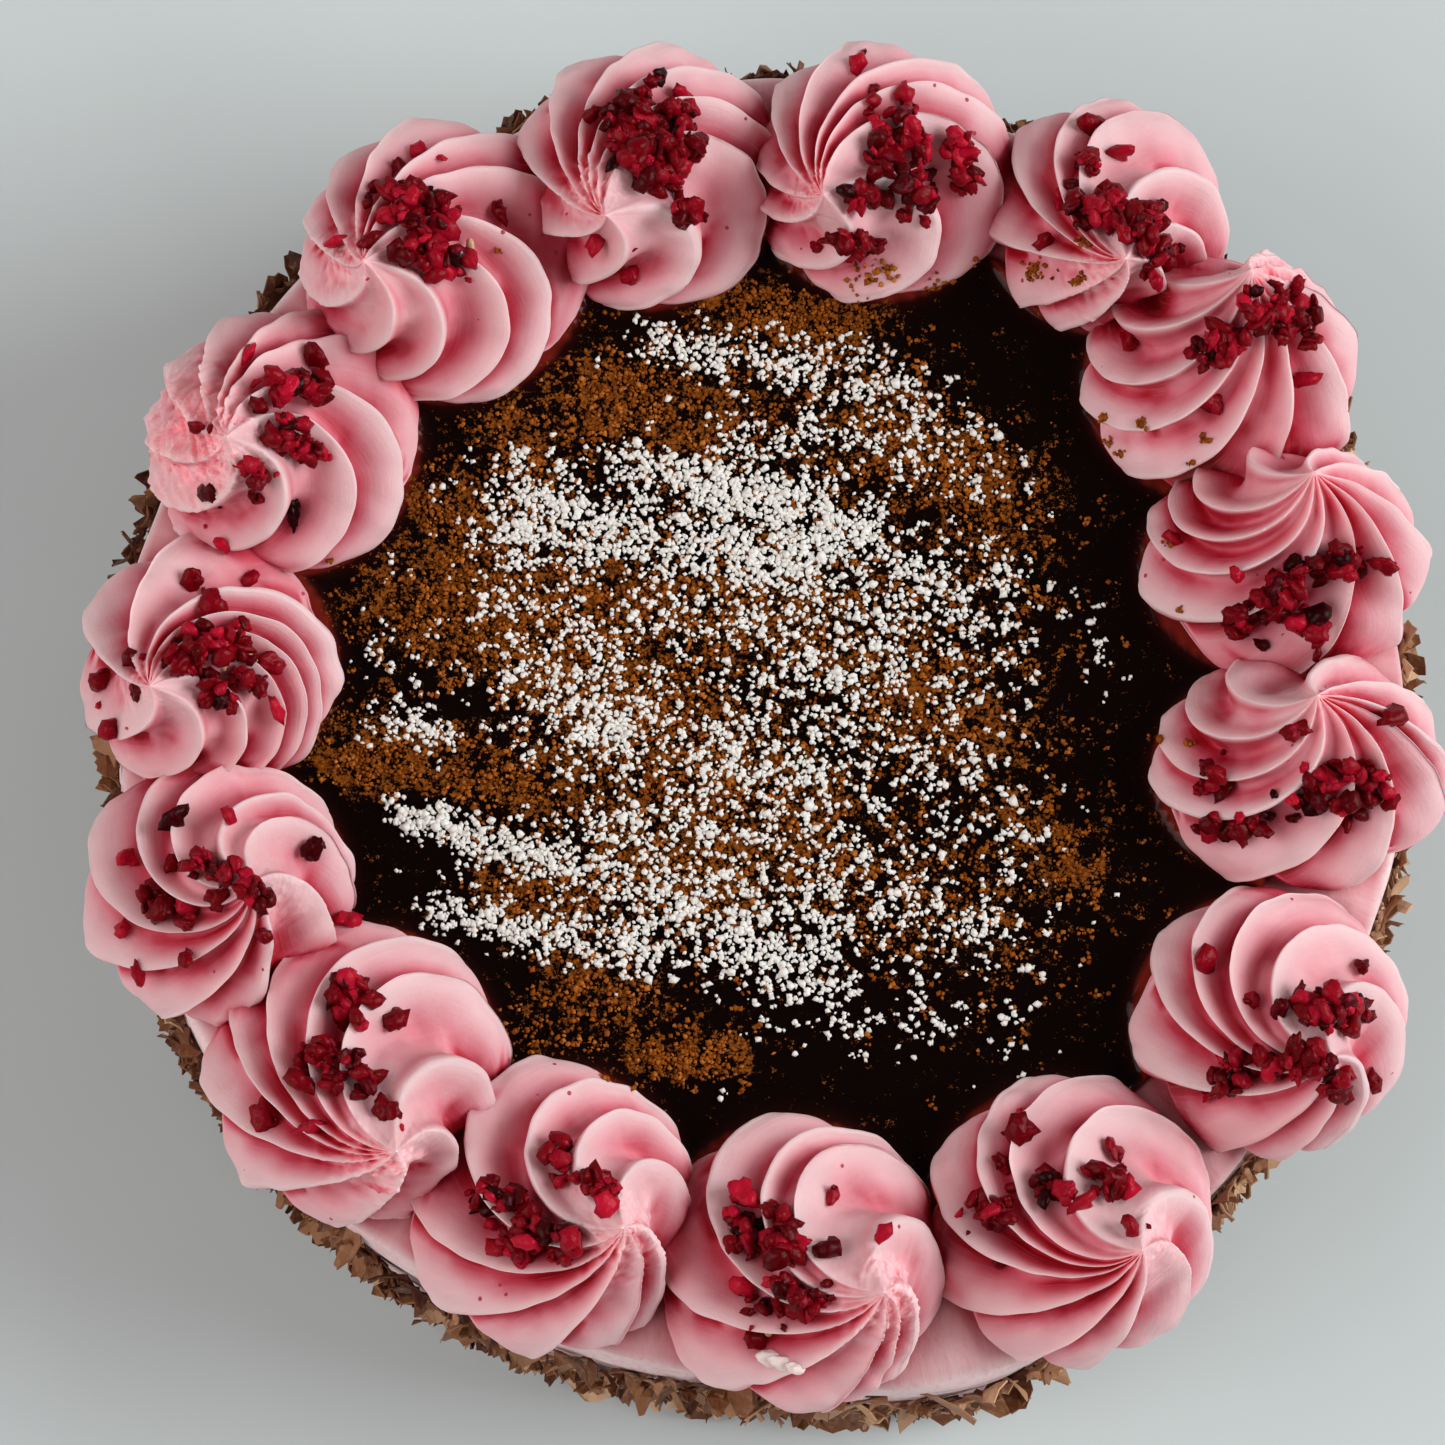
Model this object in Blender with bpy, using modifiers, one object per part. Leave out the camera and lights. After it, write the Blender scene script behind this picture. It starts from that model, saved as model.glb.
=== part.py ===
"""A round layer cake with chocolate shavings, a poured glaze and fifteen piped cream rosettes.

The cake is one free-standing object: a solid frosted body with shavings pressed into its side, a thin pool of
dark glaze on its top, and a ring of swirled rosettes with raspberry crumbs around the pool. Lengths are in
millimetres until a mesh is made, when MM turns them into metres. Up is +Z and the cake stands on z = 0.
"""

import math
import random

import bmesh
import bpy
import numpy as np
from mathutils import Matrix, Vector
from mathutils.bvhtree import BVHTree

MM = 0.001

# The frosted body: half of its cross-section, from the middle of the foot to the middle of the glaze bed.
BODY_PROFILE = (
    (0.0, 0.0),
    (101.0, 0.0),
    (102.6, 1.6),
    (103.3, 12.0),
    (103.5, 24.0),
    (103.4, 36.0),
    (103.5, 48.0),
    (103.2, 58.0),
    (101.8, 63.4),
    (99.4, 66.2),
    (96.6, 67.0),
    (79.3, 67.0),
    (79.3, 64.7),
    (0.0, 64.7),
)
BODY_STEPS = 56
WALL_RADIUS = 103.4
WALL_BUMP = 0.5

# The shavings: rows of thin flakes around the side.
FLAKE_ROWS = (9.0, 20.0, 31.0, 42.0, 52.0)
FLAKES_PER_ROW = 12
FLAKE_LENGTH = (6.0, 11.0)
FLAKE_WIDTH = (2.2, 4.2)
FLAKE_THICKNESS = 1.1

# The glaze pool lies in its bed with a small gap all round.
GLAZE_PROFILE = (
    (0.0, 65.0),
    (78.6, 65.0),
    (79.0, 66.2),
    (77.4, 66.9),
    (0.0, 66.9),
)
GLAZE_STEPS = 56

# The rosettes: every ring of a swirl has its distance from the axis and its height, as parts of the rosette's
# half width and height, and how far the ridges have turned there, in degrees.
ROSETTE_BASE = 67.3
ROSETTE_HEIGHT = 24.0
ROSETTE_TIP = 26.0
SWIRL_RINGS = (
    (0.10, 0.985, 105.0),
    (0.25, 0.90, 85.0),
    (0.45, 0.78, 53.0),
    (0.65, 0.63, 19.0),
    (0.82, 0.45, -15.0),
    (0.94, 0.26, -50.0),
    (1.00, 0.10, -75.0),
    (0.97, 0.00, -85.0),
)
VALLEY_DEPTH = 4.2
VALLEY_PLACE = 0.22
COLUMN_SPACING = 22.0
BITE_GAP = 0.65
BITE_START = 0.85

# Each rosette: its middle, its half widths, its tip measured from its middle, the angles of its ridges, the
# rosettes that lie over its edge, and the places of its largest raspberry crumbs measured from its middle.
ROSETTES = (
    ((-18.6, 86.9), (21.4, 21.4), (-7.1, -11.5), (15, 54, 83, 114, 146, 174, 210, 250, 300), (15,),
     ((-3.0, 7.0), (4.5, 5.0), (-4.0, 0.0), (4.0, -1.5), (0.0, -6.5), (-9.5, 5.5))),
    ((18.6, 88.0), (21.0, 21.0), (-10.1, -9.1), (25, 60, 84, 124, 153, 182, 204, 244, 308), (1,),
     ((2.0, 6.0), (6.5, 7.5), (0.5, 0.0), (6.0, -1.5), (3.5, -9.0), (-4.5, -5.5), (11.5, -3.5))),
    ((54.9, 80.6), (19.4, 19.0), (1.2, -11.7), (30, 98, 125, 157, 196, 236, 259, 300, 341), (2, 4),
     ((-8.0, -0.5), (-2.5, 0.0), (4.0, 1.0), (5.5, -5.0), (1.0, -4.0), (7.5, -8.0))),
    ((73.3, 54.4), (22.1, 20.2), (2.5, 13.0), (25, 50, 66, 130, 165, 200, 230, 262, 297, 342), (),
     ((-3.5, 1.0), (2.0, 4.5), (6.5, 6.5), (12.0, 5.0), (7.5, 1.0), (10.5, -2.5))),
    ((83.0, 24.5), (22.7, 18.9), (2.3, 10.6), (12, 45, 69, 110, 150, 175, 202, 238, 296, 336), (4,),
     ((-9.5, -10.0), (-4.5, -7.0), (0.5, -5.5), (6.0, -4.0), (8.0, -1.0), (-5.0, -14.5))),
    ((85.3, -9.0), (23.5, 18.9), (0.1, 8.8), (10, 42, 75, 134, 165, 198, 226, 278, 316, 355), (5,),
     ((-13.5, -4.0), (-12.5, -10.5), (1.0, -5.5), (6.0, -3.5), (11.0, -3.0), (6.0, -9.5))),
    ((79.7, -49.0), (21.6, 21.2), (7.3, -7.8), (15, 72, 118, 150, 178, 215, 260, 286, 312), (6,),
     ((-6.0, -5.0), (-0.5, -6.0), (5.0, -6.5), (9.5, 1.0), (5.0, 1.0), (-9.0, -12.0))),
    ((47.8, -80.6), (22.6, 22.6), (9.6, -6.2), (8, 82, 132, 159, 192, 230, 262, 285, 330), (7,),
     ((-7.5, 13.0), (-11.5, 7.5), (-8.5, 3.5), (-13.5, -2.0), (6.5, 4.0), (-1.0, 4.0))),
    ((4.6, -87.4), (23.0, 23.0), (13.0, -5.9), (20, 89, 112, 155, 204, 248, 292, 310, 328), (8,),
     ((-2.5, 6.5), (-4.5, 0.0), (-8.0, -6.0), (-2.5, -8.0), (4.0, -8.5), (-9.0, 6.5), (13.0, 3.5))),
    ((-34.1, -78.7), (22.8, 23.0), (11.6, -4.7), (20, 60, 97, 150, 202, 240, 275, 309, 325), (9,),
     ((-8.5, 0.0), (-11.0, -2.5), (-7.0, -6.5), (-2.0, -6.0), (4.5, 2.5), (-6.5, -10.0))),
    ((-64.5, -57.4), (23.7, 23.7), (6.9, -14.4), (5, 72, 108, 144, 172, 202, 235, 275, 320), (10,),
     ((-6.5, 2.0), (-1.0, 0.5), (-3.0, 8.5), (2.0, 11.0), (4.5, -2.5), (-4.0, -5.0))),
    ((-86.9, -28.6), (21.3, 21.3), (6.8, -1.5), (37, 60, 105, 143, 195, 232, 265, 290, 345), (11,),
     ((-6.5, 3.0), (1.5, 2.5), (-13.5, 4.0), (-8.0, -5.0), (1.5, -6.0), (-13.5, -7.0), (15.0, 6.5))),
    ((-88.5, 7.7), (20.6, 20.6), (-7.8, -7.3), (20, 45, 116, 164, 225, 268, 300, 333, 358), (12,),
     ((1.5, 7.5), (-5.5, 1.0), (1.0, 1.0), (7.0, 2.0), (-0.5, -4.0), (-11.5, -3.0))),
    ((-76.6, 43.4), (21.6, 21.6), (-8.2, -3.5), (12, 68, 95, 129, 156, 190, 224, 265, 322), (13,),
     ((-5.5, 11.0), (5.5, 10.5), (6.0, 5.5), (-4.5, -6.5), (-0.5, -1.0), (5.0, -2.0), (-11.0, -10.5))),
    ((-51.0, 73.0), (23.0, 23.0), (-12.7, -5.1), (51, 82, 118, 147, 172, 205, 238, 270, 315, 352), (14,),
     ((0.5, 8.5), (-6.5, 10.0), (-9.0, 6.0), (-4.5, 0.5), (1.5, 3.0), (0.5, -6.0))),
)
CRUMB_WIDTH = (3.6, 5.4)
SEED = 11


def clear_scene():
    """Start from nothing."""
    for old in list(bpy.data.objects):
        bpy.data.objects.remove(old, do_unlink=True)
    for old in list(bpy.data.meshes):
        bpy.data.meshes.remove(old)
    for old in list(bpy.data.collections):
        bpy.data.collections.remove(old)


def new_collection(name):
    """A collection in the scene."""
    made = bpy.data.collections.new(name)
    bpy.context.scene.collection.children.link(made)
    return made


def plain_material(name, colour, roughness):
    """One Principled material."""
    made = bpy.data.materials.new(name)
    made.use_nodes = True
    shader = made.node_tree.nodes["Principled BSDF"]
    shader.inputs["Base Color"].default_value = (*colour, 1.0)
    shader.inputs["Roughness"].default_value = roughness
    made.diffuse_color = (*colour, 1.0)
    return made


def make_object(name, points, faces, collection, material=None):
    """An object from points in millimetres and faces, with every face turned outwards."""
    mesh = bpy.data.meshes.new(name)
    mesh.from_pydata([tuple(c * MM for c in p) for p in points], [], faces)
    shape = bmesh.new()
    shape.from_mesh(mesh)
    bmesh.ops.recalc_face_normals(shape, faces=shape.faces)
    shape.to_mesh(mesh)
    shape.free()
    made = bpy.data.objects.new(name, mesh)
    collection.objects.link(made)
    if material is not None:
        mesh.materials.append(material)
    return made


def apply_modifiers(thing):
    """Replace the object's mesh by what its modifiers make of it."""
    bpy.context.view_layer.update()
    seen = thing.evaluated_get(bpy.context.evaluated_depsgraph_get())
    mesh = bpy.data.meshes.new_from_object(seen)
    old = thing.data
    materials = [slot.material for slot in thing.material_slots]
    thing.modifiers.clear()
    thing.data = mesh
    mesh.materials.clear()
    for material in materials[:1]:
        mesh.materials.append(material)
    for face in mesh.polygons:
        face.material_index = 0
    bpy.data.meshes.remove(old)


def turned(name, profile, steps, collection, material):
    """A solid of revolution: a profile swept around the Z axis by a Screw modifier."""
    mesh = bpy.data.meshes.new(name)
    points = [(r * MM, 0.0, z * MM) for r, z in profile]
    mesh.from_pydata(points, [(i, i + 1) for i in range(len(points) - 1)], [])
    made = bpy.data.objects.new(name, mesh)
    collection.objects.link(made)
    mesh.materials.append(material)
    sweep = made.modifiers.new("sweep", "SCREW")
    sweep.axis = "Z"
    sweep.steps = steps
    sweep.render_steps = steps
    sweep.use_merge_vertices = True
    sweep.merge_threshold = 0.00005
    apply_modifiers(made)
    shape = bmesh.new()
    shape.from_mesh(made.data)
    bmesh.ops.remove_doubles(shape, verts=shape.verts, dist=0.00005)
    bmesh.ops.recalc_face_normals(shape, faces=shape.faces)
    shape.to_mesh(made.data)
    shape.free()
    return made


def join_collection(thing, loose):
    """Fuse every object of a collection to one solid with a single union, then remove them."""
    union = thing.modifiers.new("union", "BOOLEAN")
    union.operation = "UNION"
    union.operand_type = "COLLECTION"
    union.collection = loose
    union.solver = "EXACT"
    apply_modifiers(thing)
    for old in list(loose.objects):
        bpy.data.objects.remove(old, do_unlink=True)


def tidy_solid(thing):
    """Keep the one solid a union makes and drop loose scraps."""
    shape = bmesh.new()
    shape.from_mesh(thing.data)
    bmesh.ops.triangulate(shape, faces=shape.faces)
    unseen = set(shape.verts)
    islands = []
    while unseen:
        island = set()
        front = [next(iter(unseen))]
        while front:
            point = front.pop()
            if point in unseen:
                unseen.discard(point)
                island.add(point)
                front.extend(edge.other_vert(point) for edge in point.link_edges)
        islands.append(island)
    islands.sort(key=len)
    for island in islands[:-1]:
        bmesh.ops.delete(shape, geom=list(island), context="VERTS")
    bmesh.ops.recalc_face_normals(shape, faces=shape.faces)
    shape.to_mesh(thing.data)
    shape.free()


def build_body(collection, loose, material):
    """The frosted cake with shavings pressed into its side."""
    body = turned("cake_body", BODY_PROFILE, BODY_STEPS, collection, material)
    draw = random.Random(SEED)
    for point in body.data.vertices:
        radius = math.hypot(point.co.x, point.co.y) / MM
        height = point.co.z / MM
        if radius > 103.0 and height > 5.0:
            moved = (radius + draw.uniform(-WALL_BUMP, WALL_BUMP)) / radius
            point.co.x *= moved
            point.co.y *= moved
    for row, height in enumerate(FLAKE_ROWS):
        for place in range(FLAKES_PER_ROW):
            angle = 2.0 * math.pi * (place + 0.5 * (row % 2) + draw.uniform(-0.22, 0.22)) / FLAKES_PER_ROW
            add_flake(draw, angle, height + draw.uniform(-2.0, 2.0), loose)
    join_collection(body, loose)
    tidy_solid(body)
    return body


def add_flake(draw, angle, height, loose):
    """One thin curled flake, its inner end sunk into the side."""
    length = draw.uniform(*FLAKE_LENGTH)
    width = draw.uniform(*FLAKE_WIDTH)
    shape = bmesh.new()
    bmesh.ops.create_cube(shape, size=1.0)
    bmesh.ops.scale(shape, vec=(FLAKE_THICKNESS * MM, length * MM, width * MM), verts=shape.verts)
    for point in shape.verts:
        if point.co.y > 0.0:
            point.co.x += 0.9 * MM
            point.co.z *= 0.6
    lean = Matrix.Rotation(draw.uniform(-0.16, -0.08), 4, "Z")
    roll = Matrix.Rotation(draw.uniform(-1.1, 1.1), 4, "X")
    out = Matrix.Translation(Vector(((WALL_RADIUS + 0.3) * MM, 0.0, height * MM)))
    around = Matrix.Rotation(angle, 4, "Z")
    bmesh.ops.transform(shape, matrix=around @ out @ roll @ lean, verts=shape.verts)
    mesh = bpy.data.meshes.new("flake")
    shape.to_mesh(mesh)
    shape.free()
    loose.objects.link(bpy.data.objects.new("flake", mesh))


def ridge_columns(crests):
    """Columns around a swirl: every crest, the valley beside it and as many between as keep it round."""
    columns = []
    for k, crest in enumerate(crests):
        following = crests[(k + 1) % len(crests)]
        span = (following - crest) % 360.0
        columns.append((crest, 0.0))
        columns.append((crest + span * VALLEY_PLACE, 1.0))
        between = max(0, round(span * (1.0 - VALLEY_PLACE) / COLUMN_SPACING) - 1)
        for j in range(between):
            part = (j + 1) / (between + 1)
            columns.append((crest + span * (VALLEY_PLACE + (1.0 - VALLEY_PLACE) * part), (1.0 - part) ** 1.2))
    return columns


def outline_at(number, height):
    """Middle and half widths of a rosette's outline at a height above its base."""
    middle, widths, tip = ROSETTES[number - 1][:3]
    heights = [ring[1] * ROSETTE_HEIGHT for ring in SWIRL_RINGS[:-1]]
    parts = [ring[0] for ring in SWIRL_RINGS[:-1]]
    part = float(np.interp(height, heights[::-1], parts[::-1]))
    away = 1.0 - part
    return (middle[0] + tip[0] * away, middle[1] + tip[1] * away), (widths[0] * part, widths[1] * part)


def bitten(number, x, y, height):
    """Pull a point of one rosette back behind the rosettes that lie over its edge."""
    middle = ROSETTES[number - 1][0]
    dx = x - middle[0]
    dy = y - middle[1]
    reach = math.hypot(dx, dy)
    if reach < 1e-6:
        return x, y
    ux = dx / reach
    uy = dy / reach
    for other in ROSETTES[number - 1][4]:
        centre, widths = outline_at(other, height)
        ax = widths[0] + BITE_GAP
        ay = widths[1] + BITE_GAP
        px = (middle[0] - centre[0]) / ax
        py = (middle[1] - centre[1]) / ay
        vx = ux / ax
        vy = uy / ay
        a = vx * vx + vy * vy
        b = px * vx + py * vy
        c = px * px + py * py - 1.0
        inside = b * b - a * c
        if inside > 0.0 and b < 0.0:
            limit = (-b - math.sqrt(inside)) / a
            start = BITE_START * limit
            if reach > start:
                reach = start + (limit - start) * math.tanh((reach - start) / (limit - start))
    return middle[0] + ux * reach, middle[1] + uy * reach


def settle(number, x, y, height):
    """Final place of a rosette point: behind its neighbours and up on the cake."""
    x, y = bitten(number, x, y, height)
    return x, y, ROSETTE_BASE + height


def swirl_points(number):
    """Points and faces of one piped swirl."""
    middle, widths, tip, crests = ROSETTES[number - 1][:4]
    tip_angle = math.degrees(math.atan2(tip[1], tip[0]))
    columns = ridge_columns(crests)
    points = [settle(number, middle[0] + tip[0], middle[1] + tip[1], ROSETTE_TIP)]
    for j, (part, up, turn) in enumerate(SWIRL_RINGS):
        before = SWIRL_RINGS[max(0, j - 1)]
        after = SWIRL_RINGS[min(len(SWIRL_RINGS) - 1, j + 1)]
        run = (after[0] - before[0]) * widths[0]
        fall = (before[1] - after[1]) * ROSETTE_HEIGHT
        size = math.hypot(run, fall)
        away = 1.0 - min(part, 1.0)
        for angle, valley in columns:
            around = 0.6 - 0.4 * math.cos(math.radians(angle - tip_angle + 45.0))
            seen = math.radians(angle + around * turn)
            depth = valley * min(VALLEY_DEPTH, 0.3 * part * widths[0])
            out = part - depth * (fall / size) / widths[0]
            height = up * ROSETTE_HEIGHT - depth * (run / size) * (up > 0.0)
            x = middle[0] + tip[0] * away + widths[0] * out * math.cos(seen)
            y = middle[1] + tip[1] * away + widths[1] * out * math.sin(seen)
            points.append(settle(number, x, y, max(0.0, height)))
    points.append(settle(number, middle[0], middle[1], 0.0))
    count = len(columns)
    faces = []
    for i in range(count):
        following = (i + 1) % count
        faces.append((0, 1 + i, 1 + following))
        for j in range(len(SWIRL_RINGS) - 1):
            a = 1 + j * count
            b = a + count
            faces.append((a + i, b + i, b + following, a + following))
        last = 1 + (len(SWIRL_RINGS) - 1) * count
        faces.append((last + i, len(points) - 1, last + following))
    return points, faces


def build_rosette(number, collection, loose, material):
    """One swirl with its largest raspberry crumbs fused to it."""
    name = f"rosette_{number:02d}"
    points, faces = swirl_points(number)
    rosette = make_object(name, points, faces, collection, material)
    shape = bmesh.new()
    shape.from_mesh(rosette.data)
    bmesh.ops.triangulate(shape, faces=shape.faces)
    shape.to_mesh(rosette.data)
    tree = BVHTree.FromBMesh(shape)
    shape.free()
    middle = ROSETTES[number - 1][0]
    draw = random.Random(SEED * 100 + number)
    for dx, dy in ROSETTES[number - 1][5]:
        above = Vector(((middle[0] + dx) * MM, (middle[1] + dy) * MM, 0.2))
        hit = tree.ray_cast(above, Vector((0.0, 0.0, -1.0)))[0]
        if hit is not None and hit.z / MM > ROSETTE_BASE + 6.0:
            add_crumb(draw, hit, loose)
    join_collection(rosette, loose)
    tidy_solid(rosette)
    return rosette


def add_crumb(draw, place, loose):
    """One angular crumb of dried raspberry, a third of it sunk into the cream."""
    width = draw.uniform(*CRUMB_WIDTH) * MM
    shape = bmesh.new()
    bmesh.ops.create_icosphere(shape, subdivisions=1, radius=0.5)
    for point in shape.verts:
        point.co *= draw.uniform(0.82, 1.12)
    bmesh.ops.scale(shape, vec=(width, width * draw.uniform(0.7, 0.95), width * 0.75), verts=shape.verts)
    turn = Matrix.Rotation(draw.uniform(0.0, 2.0 * math.pi), 4, "Z")
    lean = Matrix.Rotation(draw.uniform(-0.5, 0.5), 4, "X")
    spot = Matrix.Translation(place + Vector((0.0, 0.0, 0.12 * width)))
    bmesh.ops.transform(shape, matrix=spot @ turn @ lean, verts=shape.verts)
    mesh = bpy.data.meshes.new("crumb")
    shape.to_mesh(mesh)
    shape.free()
    loose.objects.link(bpy.data.objects.new("crumb", mesh))


clear_scene()
cake = new_collection("chocolate_cake")
toppings = new_collection("toppings")
toppings.hide_render = True

build_body(cake, toppings, plain_material("frosted_body", (0.16, 0.075, 0.045), 0.75))
turned("chocolate_glaze", GLAZE_PROFILE, GLAZE_STEPS, cake, plain_material("dark_glaze", (0.012, 0.005, 0.004), 0.12))
for rosette_number in range(1, len(ROSETTES) + 1):
    cream = plain_material(f"raspberry_cream_{rosette_number:02d}", (0.80, 0.42, 0.42), 0.5)
    build_rosette(rosette_number, cake, toppings, cream)
bpy.data.collections.remove(toppings)

total = 0
for thing in sorted(cake.objects, key=lambda item: item.name):
    triangles = sum(len(face.vertices) - 2 for face in thing.data.polygons)
    total += triangles
    print(thing.name, triangles, "triangles")
print("all", total, "triangles")
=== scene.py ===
# %% [markdown]
# # A chocolate cake with piped raspberry cream
# The cake is a round frosted body with shaved chocolate pressed into its side, a pool of dark glaze
# dusted with cocoa and sugar on its top, and a ring of fifteen piped cream swirls with dried
# raspberry on them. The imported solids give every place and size. Each piece below replaces one of
# them, or lies on one, in the same frame.

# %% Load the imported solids
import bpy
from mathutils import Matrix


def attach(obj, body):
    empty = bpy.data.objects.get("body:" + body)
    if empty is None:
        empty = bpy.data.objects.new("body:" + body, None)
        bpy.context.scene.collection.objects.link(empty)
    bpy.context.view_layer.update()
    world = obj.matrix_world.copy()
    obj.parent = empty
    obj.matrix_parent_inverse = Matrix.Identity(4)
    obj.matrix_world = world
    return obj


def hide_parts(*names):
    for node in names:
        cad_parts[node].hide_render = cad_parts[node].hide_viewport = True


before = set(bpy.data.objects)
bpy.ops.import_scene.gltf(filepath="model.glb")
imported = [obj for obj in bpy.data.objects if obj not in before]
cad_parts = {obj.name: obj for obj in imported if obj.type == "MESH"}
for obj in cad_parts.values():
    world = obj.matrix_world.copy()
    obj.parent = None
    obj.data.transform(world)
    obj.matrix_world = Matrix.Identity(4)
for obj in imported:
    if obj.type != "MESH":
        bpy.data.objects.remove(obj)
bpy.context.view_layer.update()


# %% Tools and the unit
import math

import bmesh
import bpy
import numpy as np
from mathutils import Matrix, Vector
from mathutils.bvhtree import BVHTree

MM = 0.001

# %% [markdown]
# ## Helpers
# Most of this cake is made of thousands of small curved faces, so its meshes are built from arrays:
# points in millimetres and faces as rows of point numbers. Numpy works on whole arrays at once, which
# keeps the script quick. A smooth random value is needed everywhere too, because nothing on a cake is
# perfectly regular. A sum of sine waves in random directions gives one that is the same on every run.

# %% A mesh piece from arrays
def make_piece(name, points, faces, material, replaced=(), smooth=True, layers=None):
    """A piece of the cake from points in millimetres; layers are named values, one for each point."""
    mesh = bpy.data.meshes.new(name)
    points = np.asarray(points, float) * MM
    mesh.vertices.add(len(points))
    mesh.vertices.foreach_set("co", points.ravel())
    corners = np.concatenate([np.asarray(part).ravel() for part in faces])
    sizes = np.concatenate([np.full(len(part), np.asarray(part).shape[1]) for part in faces])
    starts = np.concatenate([[0], np.cumsum(sizes)[:-1]])
    mesh.loops.add(len(corners))
    mesh.loops.foreach_set("vertex_index", corners)
    mesh.polygons.add(len(sizes))
    mesh.polygons.foreach_set("loop_start", starts)
    mesh.polygons.foreach_set("loop_total", sizes)
    mesh.polygons.foreach_set("use_smooth", np.full(len(sizes), smooth))
    mesh.update(calc_edges=True)
    for layer, values in (layers or {}).items():
        made = mesh.attributes.new(layer, "FLOAT", "POINT")
        made.data.foreach_set("value", np.asarray(values, float))
    mesh.validate()
    mesh.materials.append(material)
    piece = bpy.data.objects.new(name, mesh)
    bpy.context.scene.collection.objects.link(piece)
    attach(piece, "root")
    if replaced:
        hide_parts(*replaced)
    print(name, len(points), "points", int((sizes - 2).sum()), "triangles")
    return piece

# %% Smooth random values
def drift(points, size, seed, waves=12):
    """A smooth random value at every point, mostly between -1 and 1; size is its grain in millimetres."""
    draw = np.random.default_rng(seed)
    total = np.zeros(points.shape[:-1])
    for _ in range(waves):
        direction = draw.normal(size=3)
        direction *= 2.0 * math.pi * draw.uniform(0.6, 1.5) / (size * np.linalg.norm(direction))
        total += np.sin(points @ direction + draw.uniform(0.0, 2.0 * math.pi))
    return total * math.sqrt(2.0 / waves) * 0.6


def smooth_line(knots, at):
    """Places on a smooth line through the knots; at runs from 0 at the first knot to 1 at the last."""
    knots = np.asarray(knots, float)
    padded = np.vstack([2 * knots[0] - knots[1], knots, 2 * knots[-1] - knots[-2]])
    place = np.asarray(at, float) * (len(knots) - 1)
    i = np.minimum(place.astype(int), len(knots) - 2)
    f = (place - i)[:, None]
    a, b, c, d = padded[i], padded[i + 1], padded[i + 2], padded[i + 3]
    return 0.5 * (2 * b + (c - a) * f + (2 * a - 5 * b + 4 * c - d) * f**2 + (3 * b - a - 3 * c + d) * f**3)


def ring_faces(rows, columns):
    """Quads of a closed band: rows of points, each row going once around."""
    row = np.arange(rows - 1)[:, None] * columns
    i = np.arange(columns)[None, :]
    ahead = (i + 1) % columns
    quads = np.stack([row + i, row + columns + i, row + columns + ahead, row + ahead], axis=-1)
    return quads.reshape(-1, 4)


def fan(first, count, middle, flip=False):
    """Triangles that close a ring of points with one point in its middle."""
    i = np.arange(count)
    ahead = (i + 1) % count
    start, end = (ahead, i) if flip else (i, ahead)
    return np.stack([first + start, first + end, np.full(count, middle)], axis=-1)

# %% [markdown]
# ## The camera
# The camera comes first, because toppings are placed where it sees them. It looks down on the cake
# from about 1.1 m, leaning a little towards the lower edge of the picture, so that a strip of the
# side shows there. It aims a little beside the cake's middle, and its long lens keeps the perspective
# as weak as it is from there.

# %% Set up the camera
FRAME_PIXELS = 1445
PIXEL_MM = 0.159
LOOK_AT = (-6.75, -1.5, 69.0)
CAMERA_DISTANCE = 1100.0
LEAN_X = math.radians(-1.5)
LEAN_Y = math.radians(-8.0)
SENSOR = 36.0

towards = Vector((math.sin(LEAN_X), math.sin(LEAN_Y), 0.0))
towards.z = math.sqrt(1.0 - towards.length_squared)
side = Vector((0.0, 1.0, 0.0)).cross(towards).normalized()
upward = towards.cross(side)
eye = Vector(LOOK_AT) + towards * CAMERA_DISTANCE
lens = SENSOR * CAMERA_DISTANCE / (FRAME_PIXELS * PIXEL_MM)

camera_data = bpy.data.cameras.new("overhead_camera")
camera_data.lens = lens
camera_data.sensor_width = SENSOR
camera_data.clip_start = 0.05
camera = bpy.data.objects.new("overhead_camera", camera_data)
camera.matrix_world = Matrix.Translation(eye * MM) @ Matrix((side, upward, towards)).transposed().to_4x4()
bpy.context.scene.collection.objects.link(camera)
bpy.context.scene.camera = camera
print("lens mm", round(lens, 1), "eye mm", [round(c) for c in eye])


def pixel_ray(x, y):
    """Direction from the eye through a place in the picture, counted in pixels from its top left corner."""
    half = FRAME_PIXELS / 2.0
    right = (x - half) * PIXEL_MM
    up = (half - y) * PIXEL_MM
    return (side * right + upward * up - towards * CAMERA_DISTANCE).normalized()


def on_plane(x, y, height):
    """The point at a height, in millimetres, that shows at a place in the picture."""
    ray = pixel_ray(x, y)
    return eye + ray * ((height - eye.z) / ray.z)

# %% [markdown]
# ## Light and floor
# The cake stands on a plain pale blue-grey floor. The light is one very large soft window to the
# right, so shadows fall softly to the left, and a weaker fill comes from the other side. The sky
# above is kept dim, because the dark glaze is a mirror and would show it.

# %% A short way to write materials
def new_material(name):
    """An empty material with a Principled shader, and its node tree."""
    material = bpy.data.materials.new(name)
    material.use_nodes = True
    return material, material.node_tree, material.node_tree.nodes["Principled BSDF"]


def plug(tree, socket, value):
    """Link an output to a socket, or give the socket a plain number or colour."""
    if isinstance(value, bpy.types.NodeSocket):
        tree.links.new(value, socket)
    elif isinstance(value, tuple):
        socket.default_value = (*value, 1.0)
    else:
        socket.default_value = value


def add_node(tree, kind, settings=None, **inputs):
    """A node whose inputs are set to values, or linked where an output is given."""
    node = tree.nodes.new(kind)
    for key, value in (settings or {}).items():
        setattr(node, key, value)
    for key, value in inputs.items():
        plug(tree, node.inputs[key], value)
    return node


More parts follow.
